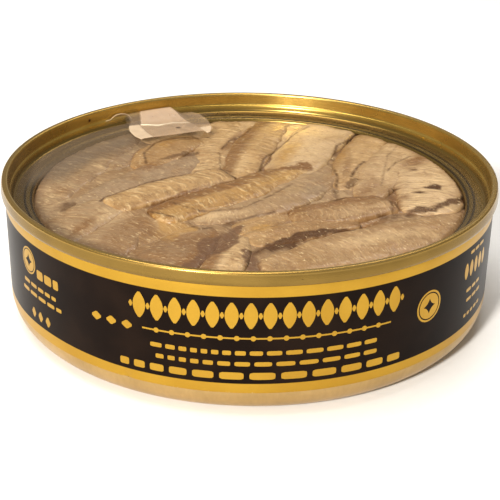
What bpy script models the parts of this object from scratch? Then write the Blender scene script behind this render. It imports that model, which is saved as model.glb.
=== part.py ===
# Round flat tin of smoked sprats under a clear peel-off film.
# Metres, +Z up, the origin at the middle of the underside.
# The camera side of the tin faces -Y.
import math

import bpy
import bmesh

MM = 0.001

# Driving sizes, in millimetres.
SEGMENTS = 72
HEIGHT = 29.0
SEAM_RADIUS = 51.15
SEAM_BOTTOM = 26.4
WALL_RADIUS = 50.30
WALL_THICKNESS = 0.20
FOOT_RADIUS = 4.9
STANDING_RADIUS = 43.6
PANEL_RADIUS = 42.3
PANEL_RISE = 0.8
STEP_RADIUS = 35.5
STEP_RISE = 1.25
LABEL_RADIUS = 50.45
LABEL_THICKNESS = 0.09
LABEL_BOTTOM = 4.98
LABEL_TOP = 27.4
LEDGE_HEIGHT = 24.5
LEDGE_OUTER = 48.6
LEDGE_INNER = 46.5
CURL_RADIUS = 44.68
FILM_RADIUS = 48.3
FILM_HEIGHT = 24.6
FILM_THICKNESS = 0.12
TAB_ANGLE = 117.5
TAB_WIDTH = 19.6
TAB_THICKNESS = 0.16
CORE_RADIUS = 48.6
CORE_TOP = 20.8
FISH_DEPTH = 4.6
RIM_CLEAR_RADIUS = 44.3
RIM_CLEAR_HEIGHT = 23.0

# One row for each sprat that shows: tail x and y, shoulder x and y, bow to the left,
# width, how far its crest lies under the film, and the shares of its width left
# at the tail and at the cut shoulder.
SPRATS = [
    ("far_left", -43.0, -12.0, -27.5, 32.5, 2.5, 14.5, 0.8, 0.6, 0.8),
    ("left_belly", -37.0, -12.0, -9.0, 27.0, -1.5, 12.0, 0.9, 0.6, 0.6),
    ("opened_belly", -23.5, 11.0, -12.0, 32.0, 2.0, 11.0, 0.6, 0.6, 0.8),
    ("short_cut", -28.5, -10.5, -4.0, 8.5, 0.8, 11.0, 0.4, 0.8, 0.9),
    ("golden_back", -19.0, -15.5, 12.0, 14.5, -1.0, 13.5, 0.4, 0.8, 0.5),
    ("middle_belly", -12.0, -16.5, 17.0, 12.5, -3.4, 13.5, 0.7, 0.5, 0.6),
    ("rear_corner", -24.0, 29.0, -13.5, 44.0, 0.5, 11.0, 1.0, 0.7, 0.8),
    ("rear_wide", 8.0, 9.0, 21.5, 43.5, 1.0, 15.0, 0.5, 0.8, 0.8),
    ("rear_middle", -3.0, 5.5, 7.0, 44.0, 1.5, 12.5, 0.7, 0.7, 0.7),
    ("rear_left", -9.5, 9.0, -4.5, 44.5, 1.0, 10.5, 0.9, 0.6, 0.8),
    ("right_narrow", 20.0, 0.5, 30.5, 36.0, 2.0, 10.0, 0.7, 0.5, 0.8),
    ("right_long", 24.5, -5.0, 36.5, 29.5, 1.0, 11.0, 0.5, 0.6, 0.8),
    ("right_edge", 34.0, 15.0, 38.0, 29.0, 0.5, 9.0, 1.0, 0.6, 0.8),
    ("far_right", 36.0, -10.5, 38.5, 22.5, -1.0, 15.0, 0.4, 0.8, 0.7),
    ("front_middle", 8.0, -14.5, 29.5, -5.0, -0.5, 12.5, 0.6, 0.6, 0.9),
    ("front_torn", -0.5, -26.5, 22.0, -15.5, 1.0, 10.5, 0.8, 0.8, 0.6),
    ("front_crumb", -3.0, -22.5, 9.0, -12.0, 0.5, 8.0, 1.1, 0.8, 0.7),
    ("front_long", 3.5, -34.5, 41.0, -12.0, 0.5, 14.0, 0.5, 0.6, 0.8),
    ("front_edge", 2.0, -41.5, 36.0, -26.5, -2.0, 9.5, 0.9, 0.6, 0.6),
    ("front_tail", -5.5, -43.0, -0.5, -22.5, 0.5, 9.0, 0.5, 1.0, 0.2),
    ("front_left", -17.0, -41.0, -7.5, -18.5, 0.5, 12.5, 0.8, 0.8, 0.6),
    ("left_strip", -27.0, -36.0, -19.5, -13.5, 0.5, 11.0, 1.0, 0.8, 0.6),
    ("left_slim", -34.5, -30.0, -25.0, -8.0, 1.5, 10.0, 0.7, 0.7, 0.8),
    ("left_tail", -41.5, -22.0, -35.0, -6.0, 0.5, 9.0, 0.9, 0.7, 0.5),
]


def clear_scene():
    for old in list(bpy.data.objects):
        bpy.data.objects.remove(old, do_unlink=True)


def new_collection(name):
    group = bpy.data.collections.new(name)
    bpy.context.scene.collection.children.link(group)
    return group


def material(name, colour, roughness, metallic, alpha=1.0):
    finish = bpy.data.materials.new(name)
    finish.use_nodes = True
    shader = finish.node_tree.nodes["Principled BSDF"]
    shader.inputs["Base Color"].default_value = (*colour, 1.0)
    shader.inputs["Roughness"].default_value = roughness
    shader.inputs["Metallic"].default_value = metallic
    shader.inputs["Alpha"].default_value = alpha
    return finish


def turned(name, outline, group, finish=None, closed=True, steps=SEGMENTS):
    # The outline is a list of radius and height in millimetres, down the outer side first.
    mesh = bpy.data.meshes.new(name)
    points = [(radius * MM, 0.0, height * MM) for radius, height in outline]
    edges = [(i, i + 1) for i in range(len(points) - 1)]
    if closed:
        edges.append((len(points) - 1, 0))
    mesh.from_pydata(points, edges, [])
    thing = bpy.data.objects.new(name, mesh)
    group.objects.link(thing)
    screw = thing.modifiers.new("turn", "SCREW")
    screw.axis = "Z"
    screw.angle = math.tau
    screw.steps = steps
    screw.render_steps = steps
    screw.use_merge_vertices = True
    screw.merge_threshold = 0.00001
    screw.use_smooth_shade = True
    if finish:
        mesh.materials.append(finish)
    return thing


def arc(centre_r, centre_z, radius, start, end, count):
    points = []
    for i in range(count):
        angle = math.radians(start + (end - start) * i / (count - 1))
        points.append((centre_r + radius * math.cos(angle), centre_z + radius * math.sin(angle)))
    return points


def baked(thing):
    # Turns an object with modifiers into a plain mesh object of the same name.
    name = thing.name
    graph = bpy.context.evaluated_depsgraph_get()
    mesh = bpy.data.meshes.new_from_object(thing.evaluated_get(graph))
    groups = list(thing.users_collection)
    bpy.data.objects.remove(thing, do_unlink=True)
    result = bpy.data.objects.new(name, mesh)
    for group in groups:
        group.objects.link(result)
    bpy.context.view_layer.update()
    return result


def make_can_body(group, finish):
    # A drawn cup: a straight wall, a rounded foot, a flat standing ring and a base panel
    # raised in two steps.
    centre = WALL_RADIUS - FOOT_RADIUS
    outer = [(WALL_RADIUS, SEAM_BOTTOM + 1.9)]
    outer += arc(centre, FOOT_RADIUS, FOOT_RADIUS, 0.0, -90.0, 6)
    outer += [(STANDING_RADIUS, 0.0), (PANEL_RADIUS, PANEL_RISE)]
    outer += [(STEP_RADIUS, PANEL_RISE), (STEP_RADIUS - 0.9, STEP_RISE), (0.0, STEP_RISE)]
    t = WALL_THICKNESS
    inner = [(0.0, STEP_RISE + t), (STEP_RADIUS - 0.8, STEP_RISE + t), (STEP_RADIUS + 0.1, PANEL_RISE + t)]
    inner += [(PANEL_RADIUS + 0.5 * t, PANEL_RISE + t), (STANDING_RADIUS + 0.5 * t, t)]
    inner += arc(centre, FOOT_RADIUS, FOOT_RADIUS - t, -90.0, 0.0, 6)
    inner += [(WALL_RADIUS - t, SEAM_BOTTOM + 1.9)]
    return turned("can_body", outer + inner, group, finish, closed=True)


def make_label(group, finish):
    # A thin sleeve wrapped round the wall. Its top edge is tucked up behind the seam.
    inner = LABEL_RADIUS - LABEL_THICKNESS
    outline = [
        (LABEL_RADIUS, LABEL_TOP),
        (LABEL_RADIUS, LABEL_BOTTOM),
        (inner, LABEL_BOTTOM),
        (inner, LABEL_TOP),
    ]
    return turned("label", outline, group, finish)


def make_seam_ring(group, finish):
    # The lid's metal ring: the rolled seam over the wall's top edge, the wall inside it,
    # the flat ledge that the film is sealed to, and the edge curled down round the opening.
    top = HEIGHT
    outline = [
        (50.35, top),
        (50.88, top - 0.20),
        (SEAM_RADIUS, top - 0.75),
        (SEAM_RADIUS, SEAM_BOTTOM + 0.52),
        (50.97, SEAM_BOTTOM + 0.05),
        (50.72, SEAM_BOTTOM),
        (50.58, SEAM_BOTTOM + 0.22),
        (50.58, top - 0.45),
        (49.98, top - 0.45),
        (49.82, LEDGE_HEIGHT + 1.55),
        (49.46, LEDGE_HEIGHT + 1.30),
        (49.26, LEDGE_HEIGHT + 0.28),
        (LEDGE_OUTER + 0.16, LEDGE_HEIGHT - 0.25),
        (LEDGE_INNER - 0.10, LEDGE_HEIGHT - 0.25),
        (CURL_RADIUS + 0.67, LEDGE_HEIGHT - 0.58),
        (CURL_RADIUS + 0.27, LEDGE_HEIGHT - 1.12),
        (CURL_RADIUS, LEDGE_HEIGHT - 1.08),
        (CURL_RADIUS + 0.42, LEDGE_HEIGHT - 0.38),
        (LEDGE_INNER, LEDGE_HEIGHT),
        (LEDGE_OUTER, LEDGE_HEIGHT),
        (49.02, LEDGE_HEIGHT + 0.45),
        (49.22, LEDGE_HEIGHT + 1.55),
        (49.56, LEDGE_HEIGHT + 1.78),
        (49.74, top - 0.35),
        (49.98, top - 0.08),
    ]
    return turned("seam_ring", outline, group, finish)


def tab_path(across):
    # Along the tab, as distance from the tin's axis and height: from the sealed hinge, up in a
    # loose fold against the ring's wall, over, and down flat on the film to the tab's free edge.
    # The fold is tall on the left of the tab and low on the right.
    right = max(0.0, min(1.0, (across - 1.0) / 8.0))
    fold = 2.35 - 1.75 * right
    reach = math.sqrt(48.95 ** 2 - across ** 2)
    side = abs(across) / (0.5 * TAB_WIDTH)
    front = 33.4 + 3.2 * max(0.0, side - 0.55) / 0.45
    base = FILM_HEIGHT + 0.5 * FILM_THICKNESS
    points = [
        (reach - 2.3, base),
        (reach - 1.3, base + 0.03),
        (reach - 0.45, base + 0.22 * fold),
        (reach - 0.02, base + 0.62 * fold),
        (reach - 0.15, base + 0.93 * fold),
        (reach - 0.75, base + 1.0 * fold),
        (reach - 1.9, base + 0.80 * fold + 0.10),
        (reach - 3.6, base + 0.45 * fold + 0.25),
        (reach - 5.6, base + 0.18 * fold + 0.38),
        (reach - 8.2, base + 0.46),
        (0.5 * (reach - 8.2 + front), base + 0.40),
        (front, base + 0.46),
    ]
    return points


def make_tab(group):
    # A closed sheet lofted across the tab, then turned to its place on the rim.
    columns = 9
    angle = math.radians(TAB_ANGLE)
    out = (math.cos(angle), math.sin(angle))
    side = (math.sin(angle), -math.cos(angle))
    shape = bmesh.new()
    upper = []
    lower = []
    for i in range(columns):
        share = 2.0 * i / (columns - 1) - 1.0
        across = 0.5 * TAB_WIDTH * math.sin(0.5 * math.pi * share)
        path = tab_path(across)
        top_row = []
        low_row = []
        for j, (r, z) in enumerate(path):
            before = path[max(0, j - 1)]
            after = path[min(len(path) - 1, j + 1)]
            dr = after[0] - before[0]
            dz = after[1] - before[1]
            size = math.hypot(dr, dz)
            nr = dz / size
            nz = -dr / size
            for sign, row in ((-0.5, top_row), (0.5, low_row)):
                rr = r + sign * TAB_THICKNESS * nr
                zz = z + sign * TAB_THICKNESS * nz
                x = rr * out[0] + across * side[0]
                y = rr * out[1] + across * side[1]
                row.append(shape.verts.new((x * MM, y * MM, zz * MM)))
        upper.append(top_row)
        lower.append(low_row)
    last = len(upper[0]) - 1
    for i in range(columns - 1):
        for j in range(last):
            shape.faces.new((upper[i][j], upper[i][j + 1], upper[i + 1][j + 1], upper[i + 1][j]))
            shape.faces.new((lower[i][j], lower[i + 1][j], lower[i + 1][j + 1], lower[i][j + 1]))
        for j in (0, last):
            shape.faces.new((upper[i][j], upper[i + 1][j], lower[i + 1][j], lower[i][j]))
    for j in range(last):
        for i in (0, columns - 1):
            shape.faces.new((upper[i][j], upper[i][j + 1], lower[i][j + 1], lower[i][j]))
    bmesh.ops.triangulate(shape, faces=shape.faces[:])
    bmesh.ops.recalc_face_normals(shape, faces=shape.faces[:])
    mesh = bpy.data.meshes.new("tab")
    shape.to_mesh(mesh)
    shape.free()
    thing = bpy.data.objects.new("tab", mesh)
    group.objects.link(thing)
    return thing


def make_film(group, helpers, finish):
    # A clear disc sealed on the ledge, with its pull tab as one piece.
    outline = [
        (0.0, FILM_HEIGHT + FILM_THICKNESS),
        (FILM_RADIUS, FILM_HEIGHT + FILM_THICKNESS),
        (FILM_RADIUS, FILM_HEIGHT),
        (0.0, FILM_HEIGHT),
    ]
    disc = baked(turned("film", outline, group, finish, closed=False))
    disc.data.materials.clear()
    disc.data.materials.append(finish)
    tab = make_tab(helpers)
    join = disc.modifiers.new("join", "BOOLEAN")
    join.operation = "UNION"
    join.solver = "EXACT"
    join.object = tab
    bpy.context.view_layer.update()
    film = baked(disc)
    bpy.data.objects.remove(tab, do_unlink=True)
    return film


def fish_width(share, length, width, tail, shoulder):
    # Share of the full half width at a place along the fish, rounded off at both ends.
    end = tail if share < 0.5 else shoulder
    near = min(share, 1.0 - share)
    plump = end + (1.0 - end) * math.sin(0.5 * math.pi * min(1.0, near / 0.5))
    tip = near * length / (0.25 * width)
    if tip < 1.0:
        plump *= 0.25 + 0.75 * math.sqrt(1.0 - (1.0 - tip) ** 2)
    return plump


def make_sprat(row, group):
    # A headless sprat pressed flat under the film: a bowed spindle with a blunt cut shoulder.
    # Only its upper half is made, because the rest is inside the core.
    name, x0, y0, x1, y1, bow, width, depth, tail, shoulder = row
    stations = 10
    ring = 7
    length = math.hypot(x1 - x0, y1 - y0)
    ax = (x1 - x0) / length
    ay = (y1 - y0) / length
    crest = FILM_HEIGHT - depth
    shape = bmesh.new()
    rows = []
    for i in range(stations):
        share = 0.5 - 0.5 * math.cos(math.pi * i / (stations - 1))
        lean = 4.0 * bow * (1.0 - 2.0 * share) / length
        size = math.hypot(1.0, lean)
        nx = (-ay - ax * lean) / size
        ny = (ax - ay * lean) / size
        offset = 4.0 * bow * share * (1.0 - share)
        cx = x0 + ax * length * share - ay * offset
        cy = y0 + ay * length * share + ax * offset
        plump = fish_width(share, length, width, tail, shoulder)
        half = 0.5 * width * plump
        top = crest - (1.0 - plump) * 0.9
        section = [(-half * 0.96, CORE_TOP - 1.4)]
        for k in range(ring):
            angle = math.pi * (1.0 - k / (ring - 1))
            u = abs(math.cos(angle)) ** 0.72 * math.copysign(1.0, math.cos(angle))
            v = abs(math.sin(angle)) ** 0.72
            section.append((half * u, top - FISH_DEPTH * (1.0 - v) * 0.75))
        section.append((half * 0.96, CORE_TOP - 1.4))
        rows.append([
            shape.verts.new(((cx + nx * u) * MM, (cy + ny * u) * MM, v * MM))
            for u, v in section
        ])
    count = len(rows[0])
    for i in range(stations - 1):
        for k in range(count):
            m = (k + 1) % count
            shape.faces.new((rows[i][k], rows[i + 1][k], rows[i + 1][m], rows[i][m]))
    shape.faces.new(rows[0])
    shape.faces.new(rows[-1])
    bmesh.ops.triangulate(shape, faces=shape.faces[:])
    bmesh.ops.recalc_face_normals(shape, faces=shape.faces[:])
    mesh = bpy.data.meshes.new(name)
    shape.to_mesh(mesh)
    shape.free()
    thing = bpy.data.objects.new(name, mesh)
    group.objects.link(thing)
    return thing


def make_sprats(group, helpers, finish):
    # A smaller plain core with the sprats that show fused on it, cut clear of the curled ring edge.
    outline = [
        (0.0, CORE_TOP),
        (CORE_RADIUS - 1.2, CORE_TOP),
        (CORE_RADIUS, CORE_TOP - 1.5),
        (CORE_RADIUS, FOOT_RADIUS + 1.6),
        (CORE_RADIUS - 3.6, 1.8),
        (0.0, 1.8),
    ]
    core = baked(turned("sprats", outline, group, finish, closed=False, steps=48))
    pieces = new_collection("sprat_pieces")
    for row in SPRATS:
        make_sprat(row, pieces)
    bpy.context.view_layer.update()
    join = core.modifiers.new("join", "BOOLEAN")
    join.operation = "UNION"
    join.operand_type = "COLLECTION"
    join.collection = pieces
    join.solver = "EXACT"
    heap = baked(core)
    for piece in list(pieces.objects):
        bpy.data.objects.remove(piece, do_unlink=True)
    bpy.data.collections.remove(pieces)
    cutter_outline = [
        (50.0, FILM_HEIGHT + 1.0),
        (50.0, RIM_CLEAR_HEIGHT),
        (RIM_CLEAR_RADIUS, RIM_CLEAR_HEIGHT),
        (RIM_CLEAR_RADIUS, FILM_HEIGHT + 1.0),
    ]
    cutter = baked(turned("rim_cutter", cutter_outline, helpers, steps=48))
    cut = heap.modifiers.new("clear_rim", "BOOLEAN")
    cut.operation = "DIFFERENCE"
    cut.solver = "EXACT"
    cut.object = cutter
    bpy.context.view_layer.update()
    heap = baked(heap)
    bpy.data.objects.remove(cutter, do_unlink=True)
    return heap


def tidy(thing, finish):
    # Drops slivers, keeps triangles only, and sets the one material and smooth shading.
    shape = bmesh.new()
    shape.from_mesh(thing.data)
    bmesh.ops.remove_doubles(shape, verts=shape.verts[:], dist=0.00002)
    bmesh.ops.dissolve_degenerate(shape, edges=shape.edges[:], dist=0.00001)
    bmesh.ops.triangulate(shape, faces=shape.faces[:])
    shape.to_mesh(thing.data)
    shape.free()
    thing.data.materials.clear()
    thing.data.materials.append(finish)
    for face in thing.data.polygons:
        face.material_index = 0
    thing.data.shade_smooth()
    thing.data.set_sharp_from_angle(angle=math.radians(40.0))


def main():
    clear_scene()
    tin = new_collection("sardine_tin")
    helpers = new_collection("helpers")
    lacquer = material("gold_lacquer", (0.46, 0.31, 0.12), 0.28, 1.0)
    foot = material("tan_lacquer", (0.63, 0.42, 0.19), 0.34, 1.0)
    print_black = material("black_print", (0.022, 0.014, 0.010), 0.45, 0.0)
    clear = material("clear_film", (0.86, 0.84, 0.80), 0.12, 0.0, alpha=0.3)
    flesh = material("smoked_skin", (0.42, 0.27, 0.15), 0.35, 0.0)
    make_can_body(tin, foot)
    make_label(tin, print_black)
    make_seam_ring(tin, lacquer)
    film = make_film(tin, helpers, clear)
    tidy(film, clear)
    heap = make_sprats(tin, helpers, flesh)
    tidy(heap, flesh)
    bpy.data.collections.remove(helpers)


main()
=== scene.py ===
# %% [markdown]
# # A flat tin of smoked sprats under a clear peel-off film
#
# The tin is drawn from thin gold-lacquered steel. A printed sleeve goes round its wall, a rolled
# ring closes its top, and a clear film is sealed on the ring's ledge. Under the film lie small
# smoked fish in oil. Each cell below makes one of these pieces, in metres, where the packed
# frame has it, so that nothing has to be fitted afterwards.

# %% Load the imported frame
import math

import bmesh
import bpy
import numpy as np
from mathutils import Matrix, Vector, noise


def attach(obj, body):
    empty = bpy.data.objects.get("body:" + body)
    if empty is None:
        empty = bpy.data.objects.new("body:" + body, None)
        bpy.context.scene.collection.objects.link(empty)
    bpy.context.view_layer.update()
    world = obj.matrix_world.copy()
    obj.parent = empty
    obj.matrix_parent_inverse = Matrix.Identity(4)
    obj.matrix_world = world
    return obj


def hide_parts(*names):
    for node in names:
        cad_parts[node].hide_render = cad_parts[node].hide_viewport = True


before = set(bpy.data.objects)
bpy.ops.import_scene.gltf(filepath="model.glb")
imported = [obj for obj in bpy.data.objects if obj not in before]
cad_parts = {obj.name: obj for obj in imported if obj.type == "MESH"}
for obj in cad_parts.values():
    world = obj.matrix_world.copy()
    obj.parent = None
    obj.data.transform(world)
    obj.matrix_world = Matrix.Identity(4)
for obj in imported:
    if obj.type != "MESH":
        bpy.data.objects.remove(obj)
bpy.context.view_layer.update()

MM = 0.001

# %% [markdown]
# ## The camera and the light
#
# The camera comes first, because every later look depends on it. It stands a quarter of a metre
# from the tin, 25 degrees above the table, with a lens that is long enough to keep the round rim
# from stretching. The small turn about its own axis keeps the picture's slight lean.

# %% Camera
ELEVATION = math.radians(25.081)
DISTANCE = 0.249376
AIM_X, AIM_Z = 0.000263, 0.009521
LEAN = math.radians(0.933)
LENS, SENSOR = 83.24, 36.0


def make_camera():
    ahead = Vector((0, math.cos(ELEVATION), -math.sin(ELEVATION)))
    right = Vector((1, 0, 0))
    above = Vector((0, math.sin(ELEVATION), math.cos(ELEVATION)))
    side = math.cos(LEAN) * right + math.sin(LEAN) * above
    top = -math.sin(LEAN) * right + math.cos(LEAN) * above
    place = Matrix((side, top, -ahead)).transposed().to_4x4()
    place.translation = Vector((AIM_X, 0, AIM_Z)) - DISTANCE * ahead
    lens = bpy.data.cameras.new("camera")
    lens.lens = LENS
    lens.sensor_width = SENSOR
    lens.clip_start = 0.01
    camera = bpy.data.objects.new("camera", lens)
    camera.matrix_world = place
    bpy.context.scene.collection.objects.link(camera)
    bpy.context.scene.camera = camera
    return camera


camera = make_camera()
print("camera at", [round(v, 3) for v in camera.location])

# %% [markdown]
# A low soft lamp on the left gives the one broad streak that runs down the lacquer left of the
# middle. A large one above lights the floor and the fish evenly, and a weak one behind makes
# the wet skin glint. The room itself is an even warm grey, so that bare metal has something
# quiet to reflect. Each lamp has its place and width in metres, its power in watts and its colour.

# %% Lamps and room
LAMPS = {
    "lamp_left": ((-0.34, -0.74, 0.44), 0.12, 12.0, (1.0, 0.97, 0.92)),
    "lamp_above": ((-0.20, 0.06, 1.13), 0.80, 9.0, (1.0, 0.99, 0.97)),
    "lamp_behind": ((0.22, 0.70, 0.80), 0.45, 1.6, (1.0, 0.97, 0.93)),
}
ROOM_COLOUR, ROOM_STRENGTH = (0.86, 0.81, 0.74, 1.0), 0.34


def make_lamp(name, place, size, power, colour):
    light = bpy.data.lights.new(name, "AREA")
    light.shape = "DISK"
    light.size = size
    light.energy = power
    light.color = colour
    lamp = bpy.data.objects.new(name, light)
    lamp.location = place
    aim = Vector((0, 0, 0.015)) - Vector(place)
    lamp.rotation_mode = "QUATERNION"
    lamp.rotation_quaternion = aim.to_track_quat("-Z", "Y")
    bpy.context.scene.collection.objects.link(lamp)


for lamp_name, lamp_facts in LAMPS.items():
    make_lamp(lamp_name, *lamp_facts)

room = bpy.data.worlds.new("room")
room.use_nodes = True
backdrop = room.node_tree.nodes["Background"]
backdrop.inputs["Color"].default_value = ROOM_COLOUR
backdrop.inputs["Strength"].default_value = ROOM_STRENGTH
bpy.context.scene.world = room
bpy.context.scene.view_settings.view_transform = "Standard"
print("lamps:", sorted(LAMPS))

# %% [markdown]
# ## Writing finishes as sums
#
# A procedural finish is mostly arithmetic on positions. Blender wants one node for each step,
# which is slow to write and hard to read, so a small class wraps a socket and lets a sum be
# written as Python. Everything else comes from one method that makes a node of any kind.

# %% Wires and finishes
class Wire:
    """A node's output that sums can be written with."""

    def __init__(self, finish, socket):
        self.finish = finish
        self.socket = socket

    def maths(self, operation, *others, first=None, clamp=False):
        entries = [self if first is None else first, *others]
        settings = {"operation": operation, "use_clamp": clamp}
        return self.finish.node("Math", settings, dict(enumerate(entries)))

    def __add__(self, other):
        return self.maths("ADD", other)

    def __sub__(self, other):
        return self.maths("SUBTRACT", other)

    def __rsub__(self, other):
        return self.maths("SUBTRACT", self, first=other)

    def __mul__(self, other):
        return self.maths("MULTIPLY", other)

    def __neg__(self):
        return self.maths("MULTIPLY", -1.0)

    def __abs__(self):
        return self.maths("ABSOLUTE")

    __radd__ = __add__
    __rmul__ = __mul__


class Finish:
    """A material that is built up from nodes."""

    def __init__(self, name):
        self.material = bpy.data.materials.new(name)
        self.material.use_nodes = True
        self.tree = self.material.node_tree
        self.tree.nodes.clear()

    def node(self, kind, settings=None, values=None, out=0):
        made = self.tree.nodes.new("ShaderNode" + kind)
        for key, setting in (settings or {}).items():
            setattr(made, key, setting)
        for key, value in (values or {}).items():
            if isinstance(value, Wire):
                self.tree.links.new(value.socket, made.inputs[key])
            else:
                made.inputs[key].default_value = value
        return Wire(self, made.outputs[out]) if made.outputs else None

    def place(self):
        """The position on the piece in millimetres, as three wires."""
        spot = self.node("TexCoord", out="Object")
        parts = [self.node("SeparateXYZ", None, {0: spot}, out=i) for i in range(3)]
        return [part * 1000.0 for part in parts]

    def stored(self, name, out="Fac"):
        """A value that the mesh keeps at each corner."""
        return self.node("Attribute", {"attribute_name": name}, None, out)

    def grain(self, where, scale, detail=2.0, roughness=0.5):
        values = {"Vector": where, "Scale": scale, "Detail": detail, "Roughness": roughness}
        return self.node("TexNoise", {"noise_dimensions": "3D"}, values, "Fac")

    def spot(self, x, y, z):
        return self.node("CombineXYZ", None, {0: x, 1: y, 2: z})

    def blend(self, mask, under, over):
        settings = {"data_type": "RGBA", "blend_type": "MIX"}
        return self.node("Mix", settings, {0: mask, 6: under, 7: over}, 2)

    def layered(self, colour, *layers):
        """The colour under thin layers, each given by its mask and its paint, the last on top."""
        for mask, over in layers:
            colour = self.blend(mask, colour, over)
        return colour

    def shade(self, colour, amount):
        """The colour times a grey amount."""
        settings = {"data_type": "RGBA", "blend_type": "MULTIPLY"}
        grey = self.node("CombineColor", None, {0: amount, 1: amount, 2: amount})
        return self.node("Mix", settings, {0: 1.0, 6: colour, 7: grey}, 2)

    def bump(self, height, strength, distance):
        values = {"Strength": strength, "Distance": distance, "Height": height}
        return self.node("Bump", None, values, "Normal")

    def surface(self, **values):
        """The one shader, whose values are named with underscores for spaces."""
        named = {key.replace("_", " "): value for key, value in values.items()}
        if "IOR Level" in named:
            named["Specular IOR Level"] = named.pop("IOR Level")
        shader = self.node("BsdfPrincipled", None, named)
        self.node("OutputMaterial", None, {"Surface": shader})
        return self.material


def clamped(wire):
    return wire.maths("ADD", 0.0, clamp=True)


def most(first, second):
    return first.maths("MAXIMUM", second)


def turn_of(x, y):
    """The angle about the tin's axis, nought at the front and growing to the right."""
    return x.maths("ARCTAN2", -y)


def reach(dx, dz):
    """How far a place is from a middle, given how far it is along two directions."""
    return (dx * dx + dz * dz).maths("SQRT")


def rise(wire, low, high):
    """Goes smoothly from 0 to 1 while the wire goes from low to high."""
    settings = {"interpolation_type": "SMOOTHSTEP"}
    return wire.finish.node("MapRange", settings, {0: wire, 1: low, 2: high})


def paint(red, green, blue):
    """A colour from its everyday 0 to 255 numbers, made linear for the shader."""
    def linear(part):
        part /= 255.0
        return part / 12.92 if part <= 0.04045 else ((part + 0.055) / 1.055) ** 2.4

    return (linear(red), linear(green), linear(blue), 1.0)


print("finish helpers ready")

# %% [markdown]
# ## Turned pieces
#
# The body, the sleeve, the ring and the film are all round, as they come from a press and a
# rolling head. One outline turned about the tin's axis gives each of them. Corners of the
# outline are first rounded a little, because bent steel has no sharp edge and the bend is what
# catches the light.

# %% Turning an outline
STEPS = 384


def rounded(outline, size, closed=True):
    """The outline with each corner replaced by a short curve of five points."""
    points = [Vector(point) for point in outline]
    count = len(points)
    result = []
    for i, point in enumerate(points):
        if not closed and i in (0, count - 1):
            result.append(tuple(point))
            continue
        before = points[i - 1] - point
        after = points[(i + 1) % count] - point
        start = point + before * min(0.45, size / before.length)
        end = point + after * min(0.45, size / after.length)
        for share in (0.0, 0.25, 0.5, 0.75, 1.0):
            first = start.lerp(point, share)
            second = point.lerp(end, share)
            result.append(tuple(first.lerp(second, share)))
    return result


def turned(name, outline, closed=True, steps=STEPS, shift=None, sharp=35.0):
    """Turns (radius, height) points in millimetres. shift moves single points."""
    shape = bmesh.new()
    columns = []
    for step in range(steps):
        angle = math.tau * step / steps
        column = []
        for radius, height in outline:
            if radius < 1e-6 and step:
                column.append(columns[0][len(column)])
                continue
            if shift:
                radius, height = shift(angle, radius, height)
            spot = (radius * math.sin(angle), -radius * math.cos(angle), height)
            column.append(shape.verts.new([v * MM for v in spot]))
        columns.append(column)
    rows = len(outline)
    for step in range(steps):
        here, there = columns[step], columns[(step + 1) % steps]
        for i in range(rows if closed else rows - 1):
            j = (i + 1) % rows
            corners = [here[i], there[i], there[j], here[j]]
            corners = [c for k, c in enumerate(corners) if c not in corners[:k]]
            if len(corners) > 2:
                shape.faces.new(corners)
    return finished(name, shape, sharp)


def finished(name, shape, sharp=35.0):
    bmesh.ops.recalc_face_normals(shape, faces=shape.faces[:])
    mesh = bpy.data.meshes.new(name)
    shape.to_mesh(mesh)
    shape.free()
    mesh.shade_smooth()
    mesh.set_sharp_from_angle(angle=math.radians(sharp))
    thing = bpy.data.objects.new(name, mesh)
    bpy.context.scene.collection.objects.link(thing)
    return thing


def settle(piece, node, material):
    """Gives a finished piece its material and its place in the frame, and hides the imported node it
    stands for.
    """
    piece.data.materials.clear()
    piece.data.materials.append(material)
    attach(piece, "root")
    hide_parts(node)
    print(piece.name, len(piece.data.vertices), "points", len(piece.data.polygons), "faces")
    return piece


def arc(centre_r, centre_z, radius, start, end, count):
    """Points on a circle, its angles in degrees from the outward direction."""
    turns = [math.radians(start + (end - start) * i / (count - 1)) for i in range(count)]
    return [(centre_r + radius * math.cos(a), centre_z + radius * math.sin(a)) for a in turns]


# %% [markdown]
# ## The drawn body
#
# The body is a cup pressed from lacquered plate. Only its rounded foot shows under the sleeve,
# with the standing ring and the stepped base panel below. A knock near the front has pushed a
# small facet into the foot and the sleeve's lower edge, so the same shift is used for both.

# %% Body outline
WALL_RADIUS, WALL_THICKNESS = 50.30, 0.20
FOOT_RADIUS = 4.9
HEIGHT, BODY_TOP = 29.0, 28.3
STEP_HEIGHT, PANEL_HEIGHT = 0.8, 1.25
KNOCK_ANGLE, KNOCK_HEIGHT = math.radians(-25.6), 5.35


def knocked(angle, radius, height):
    """A dent about a millimetre across, a third of a millimetre deep, on the outside only."""
    turn = (angle + math.pi) % math.tau - math.pi
    across = (turn - KNOCK_ANGLE) * WALL_RADIUS
    depth = 0.34 * math.exp(-((across / 0.85) ** 2) - ((height - KNOCK_HEIGHT) / 0.75) ** 2)
    if radius < WALL_RADIUS - 4.0:
        depth = 0.0
    return radius - depth, height


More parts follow.
